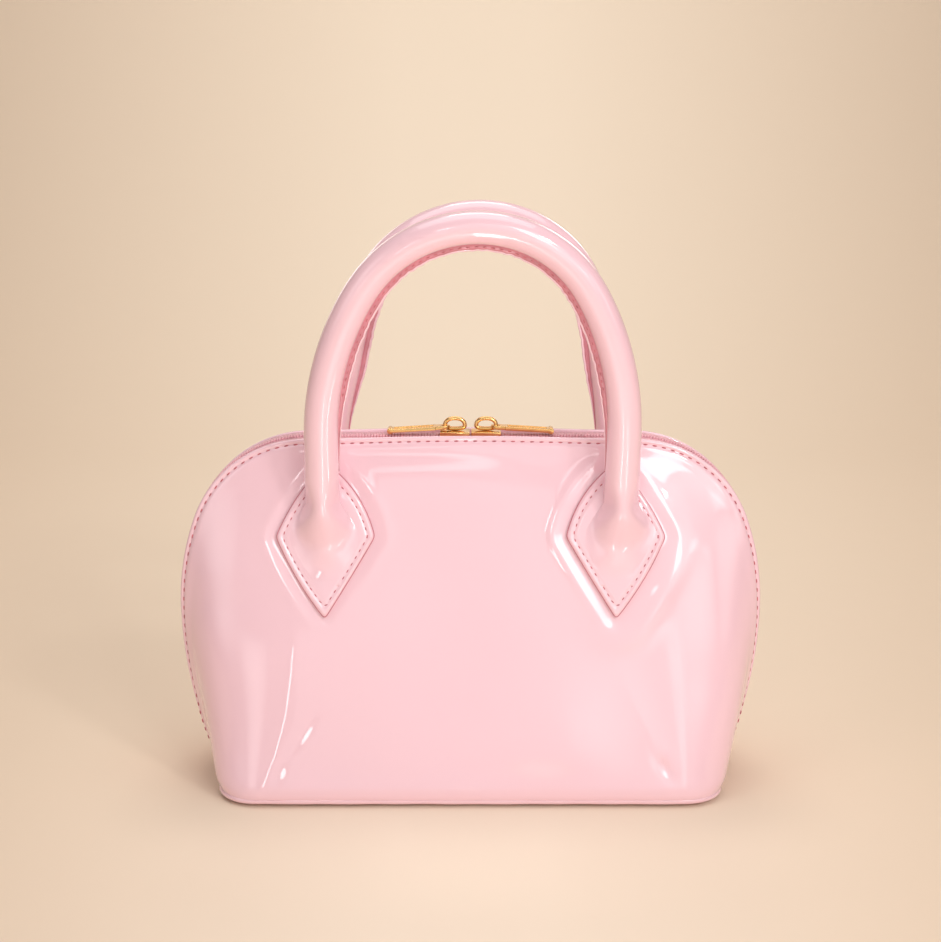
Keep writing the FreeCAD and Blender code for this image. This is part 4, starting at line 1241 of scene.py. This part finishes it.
# Radius of the bail's wire, its top below the solid's, and the height of its widest level.
BAIL_WIRE, BAIL_DROP, BAIL_WAIST = 0.78, 0.95, 2.0


def build_bail(name, node):
    """A D-shaped wire loop with a flat foot on the slider."""
    low, high = (np.array(corner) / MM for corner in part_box(node))
    wire = BAIL_WIRE
    middle, half = (low[0] + high[0]) / 2, (high[0] - low[0]) / 2 - wire - 0.3
    turn = full_turn(56)
    c, s = np.cos(turn), np.sin(turn)
    top, foot = high[2] - BAIL_DROP - wire, low[2] + wire
    waist = low[2] + BAIL_WAIST
    power = np.where(s > 0, 2 / 2.3, 2 / 2.7)
    x = middle + half * np.sign(c) * np.abs(c) ** power
    z = waist + np.where(s > 0, top - waist, waist - foot) * np.sign(s) * np.abs(s) ** power
    line = closed(np.stack([x, z], axis=1))
    line = at_distance(line, np.linspace(0, 1, 64, endpoint=False) * along(line)[-1])
    heading = loop_heading(line)
    out = np.stack([heading[:, 1], -heading[:, 0]], axis=1)
    around = full_turn(14)
    points = np.empty((len(line), len(around), 3))
    points[..., 0] = line[:, None, 0] + wire * out[:, None, 0] * np.cos(around)
    points[..., 1] = wire * np.sin(around)
    points[..., 2] = line[:, None, 1] + wire * out[:, None, 1] * np.cos(around)
    faces = grid_faces(len(line), len(around), True, True)
    return add_piece(name, points.reshape(-1, 3), faces, "gold_metal")


# Operators

# Half width of the gussets, inner and outer edge of each tape, and the coil over the tape and aside.
GUSSET_HALF = 8.7
TAPE_INNER, TAPE_OUTER = 0.9, 8.5
COIL_RISE, COIL_ASIDE = 0.35, 1.25


class BagPiece:
    """Shared by the operators that make pieces of the bag."""

    bl_options = {"REGISTER", "UNDO"}


class BAG_OT_panels(BagPiece, bpy.types.Operator):
    """Make the front and back panels with their stitching"""

    bl_idname = "bag.panels"
    bl_label = "Panels"

    def execute(self, context):
        w = sewing_sizes()
        seams = []
        for name, side, seed in (("front", FRONT, 4), ("back", BACK, 9)):
            piece, seam, out = build_panel(f"{name}_panel_leather", side, seed)
            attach(piece, "shell")
            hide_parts(f"{name}_panel")
            seams.append((seam + out * 0.12, out))
        measures = dict(pitch=w.panel_pitch, length=w.panel_stitch, width=w.thread, height=w.thread)
        stitches = repeat_along("panel_stitches", seams, "thread", **measures, slant=0.05)
        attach(stitches, "shell")
        return {"FINISHED"}


class BAG_OT_base(BagPiece, bpy.types.Operator):
    """Make the base leather, its piping and the side gussets"""

    bl_idname = "bag.base"
    bl_label = "Base and gussets"

    def execute(self, context):
        s = body_sizes()
        for piece, node in ((build_base(), "base_panel"), (build_piping(), "base_piping")):
            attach(piece, "shell")
            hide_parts(node)
        line, out = dome_part(s.foot_height - 1, s.widest_height + 1.5)
        for name, sign in (("left", -1), ("right", 1)):
            keep = line[:, 0] * sign > 0
            section = rounded(-GUSSET_HALF, GUSSET_HALF, -2.0, -0.5, 0.3, 15)
            piece = strip_along(f"{name}_gusset_leather", line[keep], out[keep], section, "patent_leather")
            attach(piece, "shell")
            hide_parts(f"{name}_gusset")
        return {"FINISHED"}


class BAG_OT_zip(BagPiece, bpy.types.Operator):
    """Make the zip tapes and the coil"""

    bl_idname = "bag.zip"
    bl_label = "Zip"

    def execute(self, context):
        s, w = body_sizes(), sewing_sizes()
        line, out = dome_part(s.widest_height, s.crown_height + 1)
        depth = -w.tape_depth
        for name, side in (("front", FRONT), ("back", BACK)):
            ends = sorted((side * TAPE_INNER, side * TAPE_OUTER))
            section = rounded(*ends, depth - 0.35, depth + 0.3)
            tape = strip_along(f"{name}_tape_weave", line, out, section, "zip_tape")
            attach(tape, "shell")
            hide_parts(f"{name}_zip_tape")
            shift = 0 if side == FRONT else w.tooth_pitch / 2
            stops = np.arange(shift, along(line)[-1], 1.0)
            facing = unit(at_distance(np.concatenate([line, out], axis=1), stops)[:, 2:])
            path = at_distance(line, stops) + facing * (depth + COIL_RISE)
            place = np.insert(path, 1, side * COIL_ASIDE, axis=1)
            normal = np.insert(facing, 1, 0, axis=1)
            measures = dict(pitch=w.tooth_pitch, length=1.12, width=w.tooth_reach, height=1.5)
            coil = repeat_along(f"{name}_coil", [(place, normal)], "zip_coil", **measures, slant=side * 0.16)
            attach(coil, "shell")
            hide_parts(f"{name}_zip_chain")
        return {"FINISHED"}


class BAG_OT_sliders(BagPiece, bpy.types.Operator):
    """Make the zip sliders, their bails and pulls"""

    bl_idname = "bag.sliders"
    bl_label = "Sliders and pulls"

    def execute(self, context):
        for side in ("left", "right"):
            for node, body, width in (
                (f"{side}_slider_body", f"{side}_slider", 0.35),
                (f"{side}_slider_bail", f"{side}_slider", None),
                (f"{side}_pull", f"{side}_pull", 0.42),
            ):
                if width:
                    piece = bevelled(f"{node}_metal", node, width, "gold_metal")
                else:
                    piece = build_bail(f"{node}_metal", node)
                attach(piece, body)
                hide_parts(node)
        return {"FINISHED"}


class BAG_OT_handles(BagPiece, bpy.types.Operator):
    """Make the rolled handles, their tabs and the stitching on them"""

    bl_idname = "bag.handles"
    bl_label = "Handles and tabs"

    def execute(self, context):
        h, w = handle_sizes(), sewing_sizes()
        axis, _ = handle_directions()
        seams, rims = [], []
        for name, side in (("front", FRONT), ("back", BACK)):
            panel = surface_of(bpy.data.objects[f"{name}_panel_leather"], side)
            leather = build_handle(f"{name}_handle_leather", side, panel)
            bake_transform(leather)
            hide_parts(f"{name}_handle_wrap")
            core = build_core(f"{name}_handle_cord", side)
            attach(core, f"{name}_handle")
            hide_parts(f"{name}_handle_core")
            pieces, seam = build_fin(f"{name}_handle", side)
            for piece in pieces:
                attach(piece, f"{name}_handle")
            measures = dict(pitch=w.tab_pitch, length=w.tab_stitch, width=0.4, height=0.4, slant=0.0)
            stitches = repeat_along(f"{name}_fin_stitches", [seam], "thread", **measures)
            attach(stitches, f"{name}_handle")
            for end_name, sign in (("left", -1), ("right", 1)):
                middle = sign * h.tab_spacing / 2
                tab, seam, rim = build_tab(f"{name}_{end_name}_tab_leather", side, middle, panel)
                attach(tab, "shell")
                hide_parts(f"{name}_{end_name}_tab")
                seams.append(seam)
                rims.append(rim)
        edges = build_tab_edges(rims)
        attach(edges, "shell")
        measures = dict(pitch=w.tab_pitch, length=w.tab_stitch, width=0.45, height=0.5, slant=0.0)
        stitches = repeat_along("tab_stitches", seams, "thread", **measures)
        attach(stitches, "shell")
        return {"FINISHED"}


class BAG_OT_inner_layers(BagPiece, bpy.types.Operator):
    """Finish the boards, patches, lining and cords inside the leather"""

    bl_idname = "bag.inner_layers"
    bl_label = "Inner layers"

    def execute(self, context):
        shown = {entry["node"]: entry["material_slot"] for entry in frame["record"]["subparts"]}
        for node, slot in shown.items():
            solid = frame["nodes"][node]
            if slot in FINISHES and not solid.hide_render:
                for place in solid.material_slots:
                    place.material = finish_named(slot)
        return {"FINISHED"}


class BAG_OT_studio(BagPiece, bpy.types.Operator):
    """Set the floor, backdrop, lights and camera"""

    bl_idname = "bag.studio"
    bl_label = "Studio"

    def execute(self, context):
        scene = context.scene
        scene.view_settings.view_transform = "Standard"
        sweep = build_backdrop()
        for lamp in LAMPS:
            add_lamp(*lamp)
        spared = bpy.data.collections.new("paper_without_back_light")
        spared.objects.link(sweep)
        spared.collection_objects[0].light_linking.link_state = "EXCLUDE"
        for name in BACK_LAMPS:
            bpy.data.objects[name].light_linking.receiver_collection = spared
        world = bpy.data.worlds.new("studio_air")
        world.use_nodes = True
        background = world.node_tree.nodes["Background"]
        background.inputs["Color"].default_value = (1.0, 0.95, 0.90, 1)
        background.inputs["Strength"].default_value = 0.22
        scene.world = world
        camera = show(bpy.data.objects.new("photo_camera", bpy.data.cameras.new("photo_camera")))
        camera.location = CAMERA_PLACE
        camera.rotation_euler = (CAMERA_TILT, 0, 0)
        camera.data.lens = FOCAL_PIXELS * SENSOR / PICTURE_PIXELS
        camera.data.sensor_width = SENSOR
        scene.camera = camera
        return {"FINISHED"}


# The camera: place in metres, tilt from straight down, focal length in pixels, longer side and sensor width.
CAMERA_PLACE = (0, -0.620, 0.2482)
CAMERA_TILT = math.radians(78)
FOCAL_PIXELS, PICTURE_PIXELS, SENSOR = 1693.9, 942, 36

# These light only the bag, so that the paper behind it keeps its tone.
BACK_LAMPS = ("back_key", "back_card")

WHITE, WARM, COOL = (1.0, 0.98, 0.98), (1.0, 0.98, 0.96), (1.0, 0.98, 1.0)

# Each lamp: name, place, aim, width and height in metres, radiance, fade towards the edges, and colour.
LAMPS = (
    ("overhead", (0.0, -0.05, 1.6), (0, 0, 0.1), 1.6, 1.2, 1.62, 0, WARM),
    ("sun", (0.61, -0.83, 0.79), (0, 0, 0.12), 0.15, 0.15, 34.0, 0, (1.0, 0.98, 0.97)),
    ("key", (0.41, -1.01, 0.66), (0, 0, 0.12), 0.26, 0.50, 6.5, 0.3, WHITE),
    ("brow", (-0.17, -0.964, 0.494), (0, 0, 0.10), 0.10, 0.10, 7.0, 0.4, WHITE),
    ("shoulder", (0.74, -0.79, 0.40), (0, 0, 0.10), 0.24, 0.14, 3.0, 1, WHITE),
    ("low_right", (0.31, -1.04, 0.17), (0, 0, 0.08), 0.30, 0.24, 1.3, 1, WHITE),
    ("low_left", (-0.258, -1.062, 0.17), (0, 0, 0.08), 0.04, 0.20, 8.0, 0.3, WHITE),
    ("left_card", (-0.55, -0.975, 0.16), (0, 0, 0.08), 0.40, 0.30, 1.6, 1, WHITE),
    ("right_card", (0.62, -0.95, 0.36), (0, 0, 0.10), 0.66, 0.56, 1.6, 1, WHITE),
    ("right_box", (1.15, -0.60, 0.45), (0, 0, 0.10), 0.55, 0.75, 1.4, 1, WHITE),
    ("top_strip", (0.10, -1.10, 0.78), (0, 0, 0.10), 0.60, 0.10, 2.4, 0.5, WHITE),
    ("front_card", (0.09, -1.0, 0.29), (0, 0, 0.10), 0.56, 0.60, 0.62, 0, COOL),
    ("left_fill", (-1.0, -0.75, 0.5), (0, 0, 0.10), 0.8, 0.9, 1.3, 1, COOL),
    ("back_key", (0.46, 0.92, 0.60), (0, 0, 0.12), 0.26, 0.44, 4.5, 0.4, WHITE),
    ("back_card", (-0.55, 0.95, 0.46), (0, 0, 0.10), 0.60, 0.60, 1.9, 1, WHITE),
    ("wall_wash", (0.0, 0.5, 1.15), (0, 1.2, 0.22), 0.5, 0.5, 5.6, 0, WARM),
    ("left_streak", (-0.002, -0.235, 0.006), (-0.002, -0.235, 1.0), 0.013, 0.15, 9.0, 0, (1.0, 0.99, 0.98)),
    ("leg_card", (0.04, -0.30, 0.004), (0.04, -0.30, 1.0), 0.40, 0.20, 0.8, 0.5, WHITE),
    ("right_streak", (0.150, -0.235, 0.006), (0.150, -0.235, 1.0), 0.013, 0.15, 9.0, 0, (1.0, 0.99, 0.98)),
)


def fade_lamp(light, power):
    """Let a softbox fall off from its middle to its edges."""
    light.use_nodes = True
    tree = light.node_tree
    emission = next(node for node in tree.nodes if node.type == "EMISSION")
    place = tree.nodes.new("ShaderNodeNewGeometry").outputs["Parametric"]
    split = tree.nodes.new("ShaderNodeSeparateXYZ")
    tree.links.new(place, split.inputs[0])

    def sum_of(operation, first, second):
        node = tree.nodes.new("ShaderNodeMath")
        node.operation = operation
        for socket, value in zip(node.inputs, (first, second)):
            if isinstance(value, bpy.types.NodeSocket):
                tree.links.new(value, socket)
            else:
                socket.default_value = value
        return node.outputs[0]

    sides = []
    for axis in ("X", "Y"):
        across = split.outputs[axis]
        sides.append(sum_of("SUBTRACT", across, sum_of("MULTIPLY", across, across)))
    level = sum_of("MULTIPLY", sum_of("MULTIPLY", *sides), 16.0)
    tree.links.new(sum_of("POWER", sum_of("MAXIMUM", level, 0.0), power), emission.inputs["Strength"])


def add_lamp(name, place, aim, width, height, radiance, fade, rgb):
    """A softbox that the camera doesn't see, only its light and its reflections."""
    light = bpy.data.lights.new(name, "AREA")
    light.shape = "RECTANGLE"
    light.size, light.size_y = width, height
    light.energy = radiance * math.pi * width * height
    light.color = rgb
    if fade:
        fade_lamp(light, fade)
    lamp = show(bpy.data.objects.new(name, light))
    lamp.location = place
    lamp.rotation_euler = (Vector(aim) - Vector(place)).to_track_quat("-Z", "Y").to_euler()
    lamp.visible_camera = False


# The sweep in metres: where its bend starts behind the bag, the bend's radius, its height and half its width.
SWEEP_START, SWEEP_RADIUS, SWEEP_HEIGHT, SWEEP_HALF = 0.6, 0.9, 3.5, 3.5

# Painted shade: the paper's colour darkens to both sides, in a fan whose point lies this far in front of the
# bag, where the light would fall off.
FAN_DEPTH = 0.75


def build_backdrop():
    """A seamless sweep of pale paper: floor, wide bend and wall."""
    start, radius, wall = SWEEP_START, SWEEP_RADIUS, SWEEP_START + SWEEP_RADIUS
    run = [(-3.0, 0.0), (start, 0.0)]
    turns = np.radians(range(5, 90, 5))
    run += [(start + radius * math.sin(a), radius - radius * math.cos(a)) for a in turns]
    run += [(wall, 0.95), (wall, SWEEP_HEIGHT)]
    points = [(x, y, z) for y, z in run for x in (-SWEEP_HALF, SWEEP_HALF)]
    faces = [(2 * n, 2 * n + 1, 2 * n + 3, 2 * n + 2) for n in range(len(run) - 1)]
    shader = Shader("studio_paper")
    split = shader.add("ShaderNodeSeparateXYZ")
    shader.link(shader.place, split.inputs[0])
    aside = shader.add("ShaderNodeMath", operation="ABSOLUTE")
    shader.link(split.outputs["X"], aside.inputs[0])
    ahead = shader.add("ShaderNodeMath", operation="ADD")
    ahead.inputs[1].default_value = FAN_DEPTH
    shader.link(split.outputs["Y"], ahead.inputs[0])
    fan = shader.add("ShaderNodeMath", operation="DIVIDE")
    shader.link(aside.outputs[0], fan.inputs[0])
    shader.link(ahead.outputs[0], fan.inputs[1])
    middle = tuple(colours().studio)
    # Painted shade: the paper's darker colour at the sides.
    edge = tuple(c * k for c, k in zip(middle, (0.85, 0.80, 0.76)))
    tone = shader.ramp(fan.outputs[0], (0.04, middle), (0.27, edge))
    shader.link(tone, shader.surface.inputs["Base Color"])
    shader.rough(shader.noise(60, 3), 0.8, 0.9)
    mesh = bpy.data.meshes.new("studio_sweep")
    mesh.from_pydata(points, [], faces)
    mesh.shade_smooth()
    mesh.materials.append(shader.material)
    sweep = show(bpy.data.objects.new("studio_sweep", mesh))
    return sweep


class BAG_PT_sidebar(bpy.types.Panel):
    """Sizes, colours and pieces of the bag"""

    bl_idname = "BAG_PT_sidebar"
    bl_label = "Top handle bag"
    bl_space_type = "VIEW_3D"
    bl_region_type = "UI"
    bl_category = "Bag"

    def draw(self, context):
        for title in GROUPS:
            group = getattr(context.scene, title)
            box = self.layout.box()
            for name in group.__annotations__:
                box.prop(group, name)
        for operator in OPERATORS:
            self.layout.operator(operator.bl_idname)


GROUPS = {"bag_body": BagBody, "bag_handle": BagHandle, "bag_sewing": BagSewing, "bag_colours": BagColours}
OPERATORS = (
    BAG_OT_panels,
    BAG_OT_base,
    BAG_OT_zip,
    BAG_OT_sliders,
    BAG_OT_handles,
    BAG_OT_inner_layers,
    BAG_OT_studio,
)


def register():
    for name, group in GROUPS.items():
        bpy.utils.register_class(group)
        setattr(bpy.types.Scene, name, PointerProperty(type=group))
    for kind in (*OPERATORS, BAG_PT_sidebar):
        bpy.utils.register_class(kind)


def unregister():
    for kind in reversed((*OPERATORS, BAG_PT_sidebar)):
        bpy.utils.unregister_class(kind)
    for name, group in GROUPS.items():
        delattr(bpy.types.Scene, name)
        bpy.utils.unregister_class(group)


def main():
    register()
    bpy.ops.bag.panels()
    bpy.ops.bag.base()
    bpy.ops.bag.zip()
    bpy.ops.bag.sliders()
    bpy.ops.bag.handles()
    bpy.ops.bag.inner_layers()
    bpy.ops.bag.studio()


if __name__ == "__main__":
    main()
